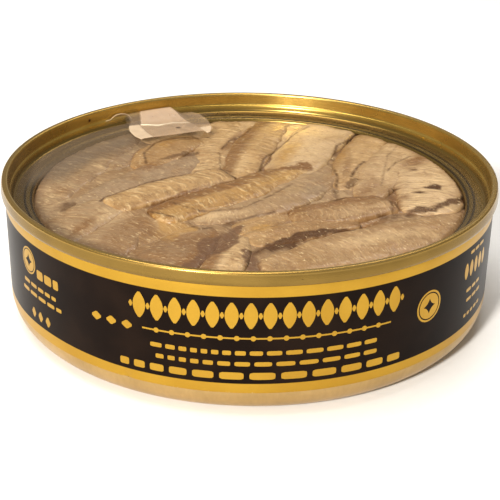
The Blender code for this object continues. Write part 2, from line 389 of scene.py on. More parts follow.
def make_body():
    centre = WALL_RADIUS - FOOT_RADIUS
    t = WALL_THICKNESS
    step, panel = STEP_HEIGHT, PANEL_HEIGHT
    outer = [(WALL_RADIUS, BODY_TOP), (WALL_RADIUS, 12.0), (WALL_RADIUS, 7.0)]
    outer += arc(centre, FOOT_RADIUS, FOOT_RADIUS, 0.0, -90.0, 22)
    base = rounded([(43.6, 0.0), (42.3, step), (35.5, step), (34.6, panel)], 0.5, closed=False)
    outer += base + [(24.0, panel), (0.0, panel)]
    inner = [(0.0, panel + t), (34.7, panel + t), (35.6, step + t), (42.4, step + t), (43.7, t)]
    inner += arc(centre, FOOT_RADIUS, FOOT_RADIUS - t, -90.0, 0.0, 12)
    inner += [(WALL_RADIUS - t, BODY_TOP)]
    return turned("tin_body", outer + inner, shift=knocked)


tin_body = make_body()

# %% [markdown]
# Lacquer over drawn steel is metal seen through a thin tinted varnish, so the colour is a tan
# gold and the finish nearly all metal. Drawing leaves fine streaks that run up the wall, and
# handling leaves faint cloudiness. Both are noise, the first one stretched along the height.

# %% Body lacquer
def body_lacquer():
    finish = Finish("body_lacquer")
    x, y, z = finish.place()
    turn = turn_of(x, y)
    streaks = finish.grain(finish.spot(turn * 40.0, z * 0.35, 0.0), 1.6, 3.0)
    clouds = finish.grain(finish.spot(x, y, z), 0.09, 3.0)
    rubs = finish.grain(finish.spot(x, y, z * 2.0), 1.3, 4.0, 0.6)
    warm = finish.blend(rise(clouds, 0.35, 0.65), paint(187, 156, 104), paint(175, 145, 94))
    colour = finish.shade(warm, 0.86 + 0.22 * streaks)
    colour = finish.blend(rise(rubs, 0.66, 0.78) * 0.35, colour, paint(170, 132, 74))
    height = streaks * 0.5 + rubs * 0.5
    return finish.surface(
        Base_Color=colour,
        Metallic=0.88,
        Roughness=0.28 + 0.12 * clouds,
        Normal=finish.bump(height, 0.22, 0.00006),
    )


settle(tin_body, "can_body", body_lacquer())

# %% [markdown]
# ## The printed sleeve
#
# The sleeve is a thin printed band round the wall, tucked under the rolled rim. It could be a
# picture on a cylinder, but a pattern worked out from the angle and the height stays sharp at
# any size. The sleeve overlaps itself at the back in one upright join, which is a real step in
# the mesh.

# %% Sleeve mesh
LABEL_RADIUS, LABEL_THICKNESS = 50.45, 0.09
LABEL_BOTTOM, LABEL_TOP = 4.98, 27.4
JOIN_ANGLE = math.radians(118.0)


def overlapped(angle, radius, height):
    """The knock at the front, and at the back the sleeve's end lying on its start."""
    radius, height = knocked(angle, radius, height)
    behind = (angle - JOIN_ANGLE) * LABEL_RADIUS
    lap = max(0.0, 1.0 - abs(behind - 3.0) / 3.0) if 0.0 < behind < 6.0 else 0.0
    return radius + 0.05 * min(1.0, 6.0 * lap), height


def make_sleeve():
    inner = LABEL_RADIUS - LABEL_THICKNESS
    heights = [5.03, 5.3, 5.7, 6.2, 6.8, 7.6, 10.0, 14.0, 18.0, 22.0, 25.0, 27.35]
    outline = [(LABEL_RADIUS - 0.03, LABEL_TOP)] + [(LABEL_RADIUS, h) for h in reversed(heights)]
    outline += [(LABEL_RADIUS - 0.03, LABEL_BOTTOM)]
    outline += [(inner, h) for h in (LABEL_BOTTOM, 6.2, 16.0, LABEL_TOP)]
    return turned("label_sleeve", outline, steps=640, shift=overlapped)


label_sleeve = make_sleeve()

# %% [markdown]
# The sleeve itself is printed with two gold bands and a black field between them. A field is a
# distance in millimetres that is negative inside, so it is filled where the distance is below
# nought. The gold is a metallic ink, so it is mostly metal; the black is an opaque varnish with
# a soft gloss. A worn lower edge, where tins rub together, keeps it from looking like a screen.

# %% Sleeve finish
EDGE = 0.08
FIELD_LOW, FIELD_HIGH = 6.91, 24.14
WORN_HEIGHT = 5.35
JOIN_HALF_WIDTH = 0.08


def filled(distance):
    return clamped(0.5 - distance * (1.0 / EDGE))


def gold_ink(finish, here):
    """The colour of the metallic ink, which the sleeve's bands and its pattern share."""
    tone = finish.grain(here, 0.11, 3.0)
    speckle = finish.grain(here, 3.2, 3.0, 0.7)
    gold = finish.blend(rise(tone, 0.35, 0.65), paint(184, 143, 50), paint(177, 136, 47))
    return finish.shade(gold, 0.93 + 0.12 * speckle), tone, speckle


def label_print():
    finish = Finish("label_print")
    x, y, z = finish.place()
    here = finish.spot(x, y, z)
    s = turn_of(x, y) * LABEL_RADIUS
    low_edge = FIELD_LOW + 0.32 * rise(s, -60.0, -42.0) - 0.32 * rise(s, -42.0, -20.0)
    black = filled(most(low_edge - z, z - FIELD_HIGH))
    gold, tone, speckle = gold_ink(finish, here)
    ink = finish.blend(rise(tone, 0.35, 0.7), paint(20, 12, 8), paint(28, 18, 12))
    wear = rise(speckle, 0.6, 0.72) * rise(WORN_HEIGHT - z, 0.0, 0.3)
    join = abs(s - LABEL_RADIUS * JOIN_ANGLE)
    colour = finish.layered(
        gold,
        (black, ink),
        (wear * 0.7, paint(214, 196, 150)),
        (filled(join - JOIN_HALF_WIDTH) * 0.8, paint(70, 52, 30)),
    )
    return finish.surface(
        Base_Color=colour,
        Metallic=0.82 * (1.0 - black),
        Roughness=0.27 + 0.06 * tone,
        IOR_Level=0.04,
        Normal=finish.bump(speckle + 0.6 * black, 0.12, 0.00004),
    )


settle(label_sleeve, "label", label_print())

# %% [markdown]
# The pattern on the black field is raised ink, as thick as a fiftieth of a millimetre, so it is
# made as a mesh of its own: a frieze of upright leaves, a beaded rule, rows of short bars and
# round medallions. Each shape is drawn flat, in millimetres along the sleeve and up it, and
# then bent round the wall. A shape is given by its edge, as a distance from its middle in every
# direction, so leaves, lozenges, bars and discs all come from one helper. The ink's underside
# is sunk a little into the sleeve, so that no light passes under it.

# %% Ink shapes
INK, SUNK = 0.02, -0.01


def on_sleeve(s, z, raised):
    radius = LABEL_RADIUS + raised
    angle = s / LABEL_RADIUS
    return Vector((radius * math.sin(angle), -radius * math.cos(angle), z)) * MM


def inked(shape, s, z, edge, hole=None, count=48):
    """A closed patch of ink between its hole and its edge, both distances for an angle."""
    turns = [math.tau * (i + 0.5) / count for i in range(count)]
    far = [edge(t) for t in turns]
    near = [hole(t) if hole else 0.0 for t in turns]
    rings = max(1, math.ceil(max(far) - min(near)))
    levels = []
    for raised in (INK, SUNK):
        rows = []
        for k in range(0 if hole else 1, rings + 1):
            row = []
            for t, inner, outer in zip(turns, near, far):
                size = inner + (outer - inner) * k / rings
                spot = on_sleeve(s + size * math.cos(t), z + size * math.sin(t), raised)
                row.append(shape.verts.new(spot))
            rows.append(row)
        middle = None if hole else shape.verts.new(on_sleeve(s, z, raised))
        levels.append((rows, middle))
    for rows, middle in levels:
        for i in range(count):
            j = (i + 1) % count
            if middle:
                shape.faces.new((middle, rows[0][i], rows[0][j]))
            for low, high in zip(rows, rows[1:]):
                shape.faces.new((low[i], high[i], high[j], low[j]))
    borders = [-1] if not hole else [-1, 0]
    for border in borders:
        top, low = levels[0][0][border], levels[1][0][border]
        for i in range(count):
            j = (i + 1) % count
            shape.faces.new((top[i], low[i], low[j], top[j]))


def disc(radius):
    return lambda t: radius


def lozenge(half_x, half_z):
    return lambda t: 1.0 / (abs(math.cos(t)) / half_x + abs(math.sin(t)) / half_z)


def bar(half_x, half_z):
    """A bar with slightly rounded ends."""
    power = 6.0
    return lambda t: (
        abs(math.cos(t) / half_x) ** power + abs(math.sin(t) / half_z) ** power
    ) ** (-1.0 / power)


def leaf(half_x, half_z):
    """A pointed oval: where a ray from the middle meets a parabola's side."""
    def edge(t):
        c, s = abs(math.cos(t)), abs(math.sin(t))
        a, b = half_x * s * s / half_z ** 2, c
        if a < 1e-9:
            return half_x / max(b, 1e-9)
        return (-b + math.sqrt(b * b + 4.0 * a * half_x)) / (2.0 * a)
    return edge


def star(size, waist):
    """A four-pointed star with sides curved inwards."""
    def edge(t):
        c, s = abs(math.cos(t)), abs(math.sin(t))
        return size / ((c ** waist + s ** waist) ** (1.0 / waist))
    return edge


# %% Rows of ink
def row_of(shape, s, z, half, period, edge, count=32):
    steps = int(half / period)
    for i in range(-steps, steps + 1):
        inked(shape, s + i * period, z, edge, count=count)


def small_bars(shape, s, z, half, half_z, period, seed):
    """Short bars of uneven length, where small print would be."""
    place, number = -half, 0
    while place < half - 0.5 * period:
        chance = 0.5 + 0.5 * math.sin(12.9898 * (number + seed) + seed)
        length = period * (0.45 + 0.75 * chance)
        length = min(length, half - place)
        inked(shape, s + place + 0.5 * length, z, bar(0.5 * length, half_z), count=40)
        place += length + 0.26 * period
        number += 1


def rule(shape, start, end, z, half_z):
    """A long thin line, in pieces short enough to follow the wall."""
    steps = max(1, math.ceil((end - start) / 1.2))
    loops = []
    for i in range(steps + 1):
        s = start + (end - start) * i / steps
        corners = [(-half_z, SUNK), (half_z, SUNK), (half_z, INK), (-half_z, INK)]
        loops.append([shape.verts.new(on_sleeve(s, z + dz, r)) for dz, r in corners])
    for here, there in zip(loops, loops[1:]):
        for k in range(4):
            m = (k + 1) % 4
            shape.faces.new((here[k], there[k], there[m], here[m]))
    shape.faces.new(loops[0])
    shape.faces.new(loops[-1])


def post(shape, s, low, high, half):
    """A thin upright line."""
    corners = []
    for raised in (INK, SUNK):
        for ds, z in ((-half, low), (half, low), (half, high), (-half, high)):
            corners.append(shape.verts.new(on_sleeve(s + ds, z, raised)))
    for face in ((0, 1, 2, 3), (7, 6, 5, 4), (0, 4, 5, 1), (1, 5, 6, 2), (2, 6, 7, 3), (3, 7, 4, 0)):
        shape.faces.new([corners[i] for i in face])


def medallion(shape, s, z, radius):
    """A gold disc with a dark star in its middle, inside a thin gold ring."""
    inked(shape, s, z, disc(radius), disc(0.88 * radius), 72)
    inked(shape, s, z, disc(0.8 * radius), star(0.56 * radius, 0.62), 96)


# %% [markdown]
# The front panel is laid out about a line four millimetres right of the middle, as wide as
# half the front. Smaller panels stand at its sides, and the back carries a framed panel in the
# same hand, so the sleeve is finished all the way round.

# %% Inking the sleeve
def front_panel(shape, s=4.0):
    row_of(shape, s, 20.55, 26.0, 3.36, leaf(1.22, 2.75), 40)
    for side in (-1, 1):
        for i in range(8):
            place = s + side * 3.36 * (i + 0.5)
            inked(shape, place, 20.55, lozenge(0.42, 0.85), count=16)
    rule(shape, s - 23.0, s + 23.0, 16.1, 0.16)
    row_of(shape, s, 16.1, 21.5, 2.9, disc(0.5), 24)
    small_bars(shape, s, 13.15, 21.5, 0.44, 2.6, 11)
    small_bars(shape, s + 0.5, 10.95, 21.0, 0.44, 2.9, 47)
    small_bars(shape, s + 0.3, 8.5, 28.0, 0.72, 3.9, 83)
    row_of(shape, s - 29.4, 16.0, 3.4, 3.3, lozenge(1.3, 0.95), 16)
    medallion(shape, s + 32.4, 16.5, 3.2)


def side_panels(shape):
    medallion(shape, -49.0, 20.0, 2.75)
    small_bars(shape, -42.2, 18.4, 3.6, 0.95, 2.0, 5)
    small_bars(shape, -45.2, 15.3, 6.4, 0.4, 2.1, 19)
    small_bars(shape, -45.2, 13.4, 7.2, 0.4, 2.3, 23)
    row_of(shape, -45.4, 9.3, 3.0, 2.7, lozenge(0.9, 1.3), 16)
    row_of(shape, 53.0, 19.2, 4.4, 2.2, leaf(0.78, 1.9), 32)
    small_bars(shape, 53.4, 22.7, 3.6, 0.34, 1.9, 31)
    small_bars(shape, 53.4, 14.7, 4.0, 0.36, 2.0, 37)
    small_bars(shape, 53.4, 12.5, 3.6, 0.36, 1.9, 41)
    small_bars(shape, 53.4, 9.3, 4.2, 0.36, 2.2, 43)
    for side in (-1, 1):
        medallion(shape, side * 88.0, 15.5, 5.6)
        row_of(shape, side * 88.0, 21.9, 0.1, 3.0, lozenge(1.5, 0.5), 16)
        row_of(shape, side * 88.0, 9.1, 0.1, 3.0, lozenge(1.5, 0.5), 16)


def back_panel(shape, s=158.49, half=44.0):
    for z in (8.6, 22.5):
        rule(shape, s - half, s + half, z, 0.17)
    for side in (-1, 1):
        post(shape, s + side * half, 8.6, 22.5, 0.17)
    row_of(shape, s, 19.2, 34.0, 3.36, leaf(1.05, 2.0), 36)
    small_bars(shape, s, 15.4, 33.0, 0.44, 2.7, 53)
    small_bars(shape, s, 13.3, 35.0, 0.44, 2.9, 59)
    small_bars(shape, s, 10.9, 30.0, 0.66, 3.8, 61)


def make_pattern():
    shape = bmesh.new()
    front_panel(shape)
    side_panels(shape)
    back_panel(shape)
    return finished("gold_pattern", shape, 30.0)


def pattern_gold():
    finish = Finish("pattern_gold")
    x, y, z = finish.place()
    gold, tone, speckle = gold_ink(finish, finish.spot(x, y, z))
    return finish.surface(
        Base_Color=gold,
        Metallic=0.82,
        Roughness=0.27 + 0.06 * tone,
        IOR_Level=0.12,
        Normal=finish.bump(speckle, 0.12, 0.00004),
    )


settle(make_pattern(), "label", pattern_gold())

# %% [markdown]
# ## The rolled ring
#
# The ring is the lid's frame: it is rolled over the body's top edge, drops down inside as a
# wall, turns in as the flat ledge that carries the film, and ends in an edge curled down round
# the opening. Its outline is followed once round, with every bend eased.

# %% Ring mesh
LEDGE_HEIGHT = 24.5
CURL_RADIUS = 44.68


def make_ring():
    top, ledge = HEIGHT, LEDGE_HEIGHT
    crest = [(49.62, top - 0.4), (49.72, top - 0.14), (49.93, top - 0.02), (50.25, top)]
    shoulder = arc(50.52, top - 0.42, 0.42, 84.0, 10.0, 9)
    outline = [
        *crest, *shoulder, (51.07, top - 1.1), (51.15, top - 1.7), (51.15, 26.92), (50.97, 26.45),
        (50.72, 26.4), (50.58, 26.62), (50.58, top - 0.62), (50.0, top - 0.64),
        (49.82, ledge + 1.55), (49.46, ledge + 1.30), (49.26, ledge + 0.28),
        (48.76, ledge - 0.25), (46.4, ledge - 0.25), (45.35, ledge - 0.58),
        (44.95, ledge - 1.12), (CURL_RADIUS, ledge - 1.08), (45.10, ledge - 0.38), (46.5, ledge),
        (48.6, ledge), (49.02, ledge + 0.45), (49.22, ledge + 1.55), (49.56, ledge + 1.78),
        (49.6, top - 0.7),
    ]
    return turned("rolled_ring", rounded(outline, 0.34), sharp=50.0)


rolled_ring = make_ring()

# %% [markdown]
# The ring's lacquer is a deeper, greener gold than the body's. Rolling leaves fine lines that
# run round the ring, so the noise is stretched along the angle here. The crest is slightly
# scuffed and carries a painted highlight that makes it paler, painted shade darkens the bends
# of the ledge, and a few specks of dark lacquer and one burnt fleck at the back left are what
# this rim shows. The inner wall is painted a brighter gold than the outer face, for the light it
# reflects, and darker low down and on the ledge, as painted shade.

# %% Ring lacquer
FLECK = (-38.0, 32.2, 27.3)


def ring_lacquer():
    finish = Finish("ring_lacquer")
    x, y, z = finish.place()
    turn = turn_of(x, y)
    radius = reach(x, y)
    lines = finish.grain(finish.spot(radius * 6.0, z * 6.0, turn * 1.2), 1.0, 3.0)
    clouds = finish.grain(finish.spot(x, y, z), 0.12, 3.0)
    specks = finish.grain(finish.spot(x, y, z), 1.1, 2.0)
    outer = finish.blend(rise(clouds, 0.3, 0.7), paint(134, 107, 51), paint(125, 99, 46))
    # Painted light and shade: the inner wall is a brighter gold than the outer face, for the light it
    # reflects, and darker low down and on the ledge.
    inner = finish.blend(rise(clouds, 0.3, 0.7), paint(194, 160, 78), paint(176, 142, 65))
    inner = finish.blend(1.0 - rise(z, 24.9, 26.0), inner, paint(132, 106, 51))
    metal = finish.blend(rise(radius, 49.6, 50.1), inner, outer)
    # Painted shade: dark lines in the two bends of the ledge.
    bend_shade = most(filled(abs(radius - 46.55) - 0.24), filled(abs(radius - 45.35) - 0.22))
    low = 1.0 - rise(z, 24.6, 24.8)
    # Painted highlight: a paler band along the crest's inner edge.
    crest_highlight = rise(z, 28.4, 28.75) * rise(radius, 49.62, 49.8)
    fleck_x, fleck_y, fleck_z = FLECK
    from_fleck = reach(reach(x - fleck_x, y - fleck_y), z - fleck_z)
    scuffs = rise(lines, 0.56, 0.7) * rise(z, 28.4, 28.9)
    colour = finish.layered(
        finish.shade(metal, 0.84 + 0.3 * lines),
        (bend_shade * low * 0.85, paint(54, 40, 22)),
        (crest_highlight * 0.4, paint(214, 172, 88)),
        (1.0 - rise(from_fleck, 0.3, 0.55), paint(70, 30, 14)),
        (scuffs * 0.5, paint(232, 214, 160)),
        (rise(specks, 0.76, 0.79), paint(58, 34, 16)),
    )
    return finish.surface(
        Base_Color=colour,
        Metallic=0.86,
        Roughness=0.21 + 0.1 * clouds,
        Normal=finish.bump(lines, 0.16, 0.00005),
    )


settle(rolled_ring, "seam_ring", ring_lacquer())

# %% [markdown]
# ## The fish
#
# Sprats are packed headless, side by side and crosswise, and pressed nearly flat by the film.
# Each one that shows is lofted along its own bowed spine: narrow at the tail, blunt at the cut
# shoulder, steep at its edges and almost flat on top. The rows give, in millimetres, the tail,
# the shoulder, the bow to the left, the width, the depth of the crest under the film, the
# shares of the width left at tail and shoulder, and then how the skin looks: the side the dark
# back lies on, and how golden, pale, grey and ribbed it is.

# %% Table of sprats
FILM_HEIGHT, FILM_THICKNESS = 24.6, 0.12
CORE_TOP = 20.8

SPRATS = [
    ("far_left", -44.5, -13.5, -28.5, 37.0, 2.5, 13.6, 0.8, 0.6, 0.8, 0, 0.05, 0.15, 0.5, 0.6),
    ("left_inner", -36.0, 2.0, -22.5, 35.5, 1.5, 10.4, 1.1, 0.6, 0.8, 0, 0.0, 0.1, 0.6, 0.3),
    ("left_belly", -37.5, -13.0, -9.0, 27.0, -1.5, 11.0, 0.9, 0.6, 0.6, 0, 0.0, 0.15, 0.6, 0.15),
    ("opened_belly", -23.5, 11.0, -12.0, 32.0, 2.0, 10.0, 0.6, 0.6, 0.8, 0, 0.3, 0.1, 0.0, 0.3),
    ("short_cut", -28.5, -10.5, -4.0, 8.5, 0.8, 9.4, 0.4, 0.8, 0.9, 0, 0.45, 0.45, 0.0, 1.0),
    ("golden_back", -19.0, -15.5, 12.0, 14.5, -1.0, 10.2, 0.4, 0.8, 0.5, 1, 0.7, 0.1, 0.0, 1.0),
    ("middle_belly", -12.0, -16.5, 17.0, 12.5, -3.4, 12.4, 0.7, 0.5, 0.6, 0, 0.1, 0.15, 0.4, 0.35),
    ("rear_corner", -24.0, 27.0, -14.5, 50.5, 0.5, 10.0, 1.0, 0.7, 0.8, 0, 0.15, 0.45, 0.1, 0.5),
    ("rear_between", 4.0, 26.0, 16.5, 51.0, 1.2, 10.0, 1.0, 0.7, 0.8, 0, 0.0, 0.5, 0.0, 0.5),
    ("rear_wide", 8.0, 9.0, 23.4, 49.5, 1.0, 12.4, 0.5, 0.8, 0.8, 0, 0.0, 0.75, 0.05, 0.2),
    ("rear_middle", -3.0, 5.5, 8.4, 51.0, 1.5, 9.6, 0.7, 0.7, 0.7, 1, 0.45, 0.35, 0.0, 0.8),
    ("rear_gap", -8.0, 28.0, 3.0, 51.5, 1.2, 9.0, 1.0, 0.7, 0.8, 0, 0.0, 0.5, 0.0, 0.5),
    ("rear_left", -9.8, 8.0, -3.6, 51.5, 1.0, 9.2, 0.9, 0.6, 0.8, 0, 0.3, 0.5, 0.0, 0.9),
    ("right_narrow", 20.0, 0.5, 33.0, 42.0, 2.0, 8.6, 0.7, 0.5, 0.8, 0.5, 0.35, 0.45, 0.0, 0.4),
    ("right_long", 24.5, -5.0, 38.2, 33.5, 1.0, 9.6, 0.5, 0.6, 0.8, 0, 0.1, 0.5, 0.1, 0.35),
    ("right_edge", 34.0, 15.0, 39.6, 33.0, 0.5, 9.0, 1.0, 0.6, 0.8, 0, 0.2, 0.1, 0.1, 0.3),
    ("far_right", 36.0, -12.0, 38.5, 25.5, -1.0, 13.2, 0.4, 0.8, 0.7, 0, 0.05, 0.8, 0.0, 0.9),
    ("front_middle", 8.0, -14.5, 29.5, -5.0, -0.5, 10.2, 0.6, 0.6, 0.9, 1, 0.15, 0.1, 0.1, 0.6),
    ("front_torn", -0.5, -26.5, 22.0, -15.5, 1.0, 8.4, 0.8, 0.8, 0.6, 0, 0.25, 0.2, 0.0, 0.5),
    ("front_crumb", -3.0, -22.5, 9.0, -12.0, 0.5, 7.0, 1.1, 0.8, 0.7, 0, 0.3, 0.1, 0.0, 0.4),
    ("front_long", 2.5, -38.5, 48.0, -13.5, 0.5, 12.8, 0.5, 0.6, 0.8, 0, 0.15, 0.1, 0.15, 0.45),
    ("front_edge", -2.0, -46.0, 44.0, -25.0, -3.0, 9.4, 0.7, 0.6, 0.6, 0, 0.1, 0.35, 0.0, 0.8),
    ("front_tail", -7.0, -50.5, -0.5, -22.5, 0.5, 7.4, 0.5, 1.0, 0.2, 1, 0.2, 0.6, 0.0, 1.0),
    ("front_left", -20.0, -50.0, -7.5, -18.5, 0.5, 11.6, 0.8, 0.8, 0.6, -1, 0.05, 0.0, 0.4, 0.2),
    ("left_strip", -33.5, -44.0, -21.5, -12.5, 0.5, 12.4, 1.1, 0.8, 0.6, 0, 0.05, 0.1, 0.4, 0.25),
    ("left_slim", -41.0, -37.5, -27.5, -7.0, 1.5, 10.6, 0.8, 0.7, 0.8, 0, 0.05, 0.2, 0.4, 0.5),
    ("left_tail", -47.5, -29.0, -35.0, -5.0, 0.5, 8.2, 0.9, 0.7, 0.5, 0, 0.05, 0.2, 0.5, 0.5),
]
# Lower down, more sprats lie side by side and close the gaps. They run one way, at 45 degrees.
LOWER_TURN, LOWER_PITCH, LOWER_REACH = math.radians(45.0), 11.5, 43.6


def lower_rows():
    rows = []
    ax, ay = math.cos(LOWER_TURN), math.sin(LOWER_TURN)
    for i in range(-3, 4):
        aside = i * LOWER_PITCH
        half = math.sqrt(LOWER_REACH ** 2 - aside ** 2)
        for start, end in ((-half, -0.04 * half), (0.06 * half, half)):
            tail = (ax * start - ay * aside, ay * start + ax * aside)
            head = (ax * end - ay * aside, ay * end + ax * aside)
            rows.append(("lower", *tail, *head, 0.4, 13.5, 1.25, 0.75, 0.8, 0, 0.1, 0.0, 0.4, 0.5))
    return rows


SPRATS = lower_rows() + SPRATS
print(len(SPRATS), "sprats, the lower row among them")

# %% [markdown]
# Wet skin is never one colour. Smoke has browned some backs, oil has turned some flanks golden,
# and a few spots are dark. These are set down as soft ovals in the plan of the tin:
# their middle, half length, half width, turn in degrees, the kind of stain and its strength.

# %% Table of stains
STAINS = [
    (-22.5, 12.0, 3.4, 2.2, 40, "brown_and_shade", 0.75),
    (-13.5, 31.0, 4.0, 0.9, 12, "dark", 0.5),
    (-19.5, 26.0, 3.6, 1.4, 60, "gold", 0.9),
    (3.0, 8.6, 4.2, 2.0, 60, "brown_and_shade", 0.8),
    (8.2, 21.0, 9.5, 1.9, 74, "gold", 0.95),
    (-4.2, 29.0, 7.0, 1.3, 72, "brown_and_shade", 0.8),
    (3.2, 41.0, 3.0, 1.6, 60, "grey", 0.9),
    (20.6, 21.0, 7.5, 1.7, 76, "gold", 0.9),
    (21.4, 14.0, 9.0, 0.9, 82, "brown_and_shade", 0.6),
    (37.4, 17.5, 5.4, 2.4, 62, "brown_and_shade", 0.85),
    (35.4, -1.5, 1.3, 0.7, -10, "dark", 1.0),
    (31.0, 0.9, 0.6, 0.5, 0, "dark", 1.0),
    (36.0, 12.0, 0.8, 0.6, 0, "dark", 0.9),
    (30.0, -5.0, 1.2, 6.5, 0, "brown_and_shade", 0.9),
    (31.6, -3.8, 2.0, 1.2, 20, "brown_and_shade", 0.8),
    (27.6, -12.8, 1.8, 0.9, 0, "dark", 0.9),
    (18.3, -4.8, 1.4, 1.1, 0, "dark", 0.9),
    (25.0, 1.0, 6.0, 2.0, 60, "brown_and_shade", 0.7),
    (14.5, -8.5, 8.0, 1.6, 24, "brown_and_shade", 0.7),
    (26.5, -4.5, 5.5, 2.6, 40, "brown_and_shade", 0.55),
    (23.5, -16.8, 5.0, 1.3, 14, "brown_and_shade", 0.85),
    (21.0, -10.5, 8.0, 1.2, 20, "pale", 0.6),
    (-11.0, -24.8, 4.4, 2.4, 20, "brown_and_shade", 0.35),
    (-21.0, -20.0, 3.0, 6.5, 25, "brown_and_shade", 0.55),
    (-37.4, -10.5, 1.3, 3.0, -16, "dark", 0.5),
    (-32.3, -21.0, 1.1, 6.5, -20, "brown_and_shade", 0.7),
    (-25.0, -31.0, 3.2, 4.0, 10, "brown_and_shade", 0.5),
    (-40.0, 10.0, 5.0, 16.0, -22, "grey", 0.8),
    (-30.0, 27.0, 6.0, 4.5, 10, "grey", 0.8),
    (-34.0, 27.0, 1.8, 1.0, -10, "pale", 1.0),
    (13.5, 0.0, 3.2, 10.0, -10, "grey", 0.85),
    (23.0, 36.0, 2.5, 5.0, -20, "grey", 0.8),
    (15.0, 24.0, 3.0, 9.0, -16, "pale", 0.8),
    (-2.0, 14.0, 2.6, 8.0, -14, "pale", 1.0),
    (-10.0, 38.0, 2.6, 6.0, -10, "pale", 0.6),
    (29.0, 9.0, 2.4, 7.0, -16, "pale", 0.8),
    (31.5, 27.0, 2.4, 8.0, 30, "pale", 0.7),
    (20.0, -12.2, 6.0, 1.9, 18, "pale", 0.8),
    (36.0, 5.0, 4.0, 6.0, 0, "pale", 0.9),
    (-15.0, -20.5, 4.6, 2.2, -50, "pale", 0.7),
    (-17.0, -24.0, 3.6, 1.0, -60, "gold", 0.7),
    (-5.0, -36.0, 1.8, 7.0, -22, "pale", 0.9),
    (3.0, -19.5, 3.2, 2.0, 30, "gold", 0.9),
    (-7.0, -14.5, 7.5, 1.7, 22, "pale", 0.7),
    (24.0, -25.0, 12.0, 2.4, 26, "pale", 0.7),
    (-27.0, -14.0, 3.4, 7.0, -30, "pale", 0.6),
    (5.0, 4.0, 9.0, 1.6, 45, "gold", 1.0),
]

# %% [markdown]
# Some marks have corners that an oval can't give: broad brown patches, browned skin and flesh in
# some and painted shade under a fish's edge in others, golden flakes, painted shadow in wedges
# between two fish, open gaps and torn spots. They are drawn as many-sided patches in the plan,
# each with the kind of stain, its strength and its corners.

# %% Table of patches
PATCHES = [
    # Painted shade under the lower edge of the front middle fish.
    ("brown_and_shade", 0.4, [
        (5.3, -17.2), (9.5, -13.8), (13.4, -11.4), (21.6, -9.6), (27.9, -9.8), (26.9, -14.3),
        (22.9, -17.8), (17.1, -19.9), (11.4, -21.4), (5.7, -25.3), (3.2, -27.8),
    ]),
    # Painted shade under the edge of a fish at the front left.
    ("brown_and_shade", 0.6, [
        (-14.3, -24.8), (-12.4, -23.2), (-9.2, -22.6), (-5.2, -23.3), (-3.6, -22.4), (-6.1, -25.7),
        (-8.3, -27), (-9.8, -29.3), (-12.1, -28.7), (-13.6, -27.2),
    ]),
    ("gold", 0.8, [
        (-18.2, -16.4), (-16.1, -17.1), (-14.9, -15.8), (-13.1, -17.4), (-9.9, -20.6), (-11.2, -21.9),
        (-13.4, -22.8), (-14.5, -26.8), (-16, -23.3), (-17.3, -20.1),
    ]),
    ("dark", 0.7, [
        (-37.6, -9.0), (-36.9, -8.2), (-35.6, -8.5), (-35.2, -9.7), (-36.1, -10.7), (-36.8, -12.4),
        (-37.6, -13.2), (-37.3, -11.2),
    ]),
    # Painted shade over a broad area at the front left.
    ("brown_and_shade", 0.3, [
        (-20, -14), (-24.7, -18), (-26.7, -21.3), (-28, -27), (-31, -29), (-24, -39), (-11.7, -38),
        (-9.3, -31.3), (-13, -27), (-16, -25.3), (-18, -22), (-19.3, -18),
    ]),
    ("brown_and_shade", 0.15, [
        (-25.1, 11.4), (-23.9, 16.4), (-22.6, 22.7), (-20.1, 28.4), (-11.9, 31.6), (-11.9, 20.8),
        (-14.4, 15.2), (-18.8, 10.1),
    ]),
    ("shade", 1.0, [
        (-1.3, -18.3), (-4.0, -20.7), (-5.3, -23.7), (-8.7, -25.3), (-9.7, -28), (-8.7, -32),
        (-11.7, -38), (-9.7, -37.7), (-4.7, -31.3), (-2.5, -27.3), (-1.8, -21),
    ]),
    ("shade", 1.0, [(-0.7, -30.3), (1.3, -32), (2.3, -40.5), (0, -40.7), (-0.3, -35.3), (-1.3, -30.7)]),
    ("dark", 0.95, [
        (0.3, -31.3), (2.3, -29), (4.7, -26.7), (8, -23.7), (9, -22.6), (9.7, -25.3), (8.7, -28.3),
        (6.3, -29.3), (4, -30.3), (1.7, -31.7),
    ]),
    ("dark", 0.95, [
        (9, -22.7), (11.3, -21.7), (14, -20.7), (16.7, -20), (19.3, -19.6), (21, -20.2), (20, -21.3),
        (18, -20.8), (15.3, -21.8), (13, -23.3), (10.7, -24.7), (9.7, -25.2),
    ]),
    ("dark", 0.9, [
        (30.7, -12), (33.3, -10.3), (34, -9), (35.7, -9.1), (36.7, -10), (38, -8.7), (40, -6.3),
        (42, -4.7), (44.3, -3), (44.2, -5.3), (41, -7.3), (39.3, -8.8), (37.3, -10.7), (31.3, -12.3),
    ]),
    ("dark", 1.0, [(37.3, 1.3), (39.7, 3.5), (40.3, 2.7), (40.2, 0.7), (38, 0.5)]),
    ("dark", 0.7, [(22.7, 7.3), (23.5, 6.7), (22, 3.3), (21, 1.7), (20.3, 2.7), (21.3, 5.3)]),
    ("dark", 0.65, [
        (-14.7, 21.3), (-12.7, 22), (-11.8, 20.7), (-13.7, 20), (-16, 18.7), (-18, 16.8),
        (-20, 16.3), (-17, 19), (-15.7, 20.3),
    ]),
    ("brown_and_shade", 1.0, [
        (5, 11.1), (6.3, 12), (9, 13.3), (10, 13.4), (11.3, 15.3), (12.7, 15.7), (13.5, 13.7),
        (13.3, 11.3), (8, 11),
    ]),
    ("brown_and_shade", 0.85, [
        (-21.3, -13.3), (-19.7, -9.3), (-16, -5.7), (-12.7, -2.3), (-10, -1), (-4.3, 2.3), (0, 2.4),
        (-3.3, 0), (-8.7, -4), (-12.7, -8), (-16, -10.7), (-19.7, -13.7),
    ]),
]
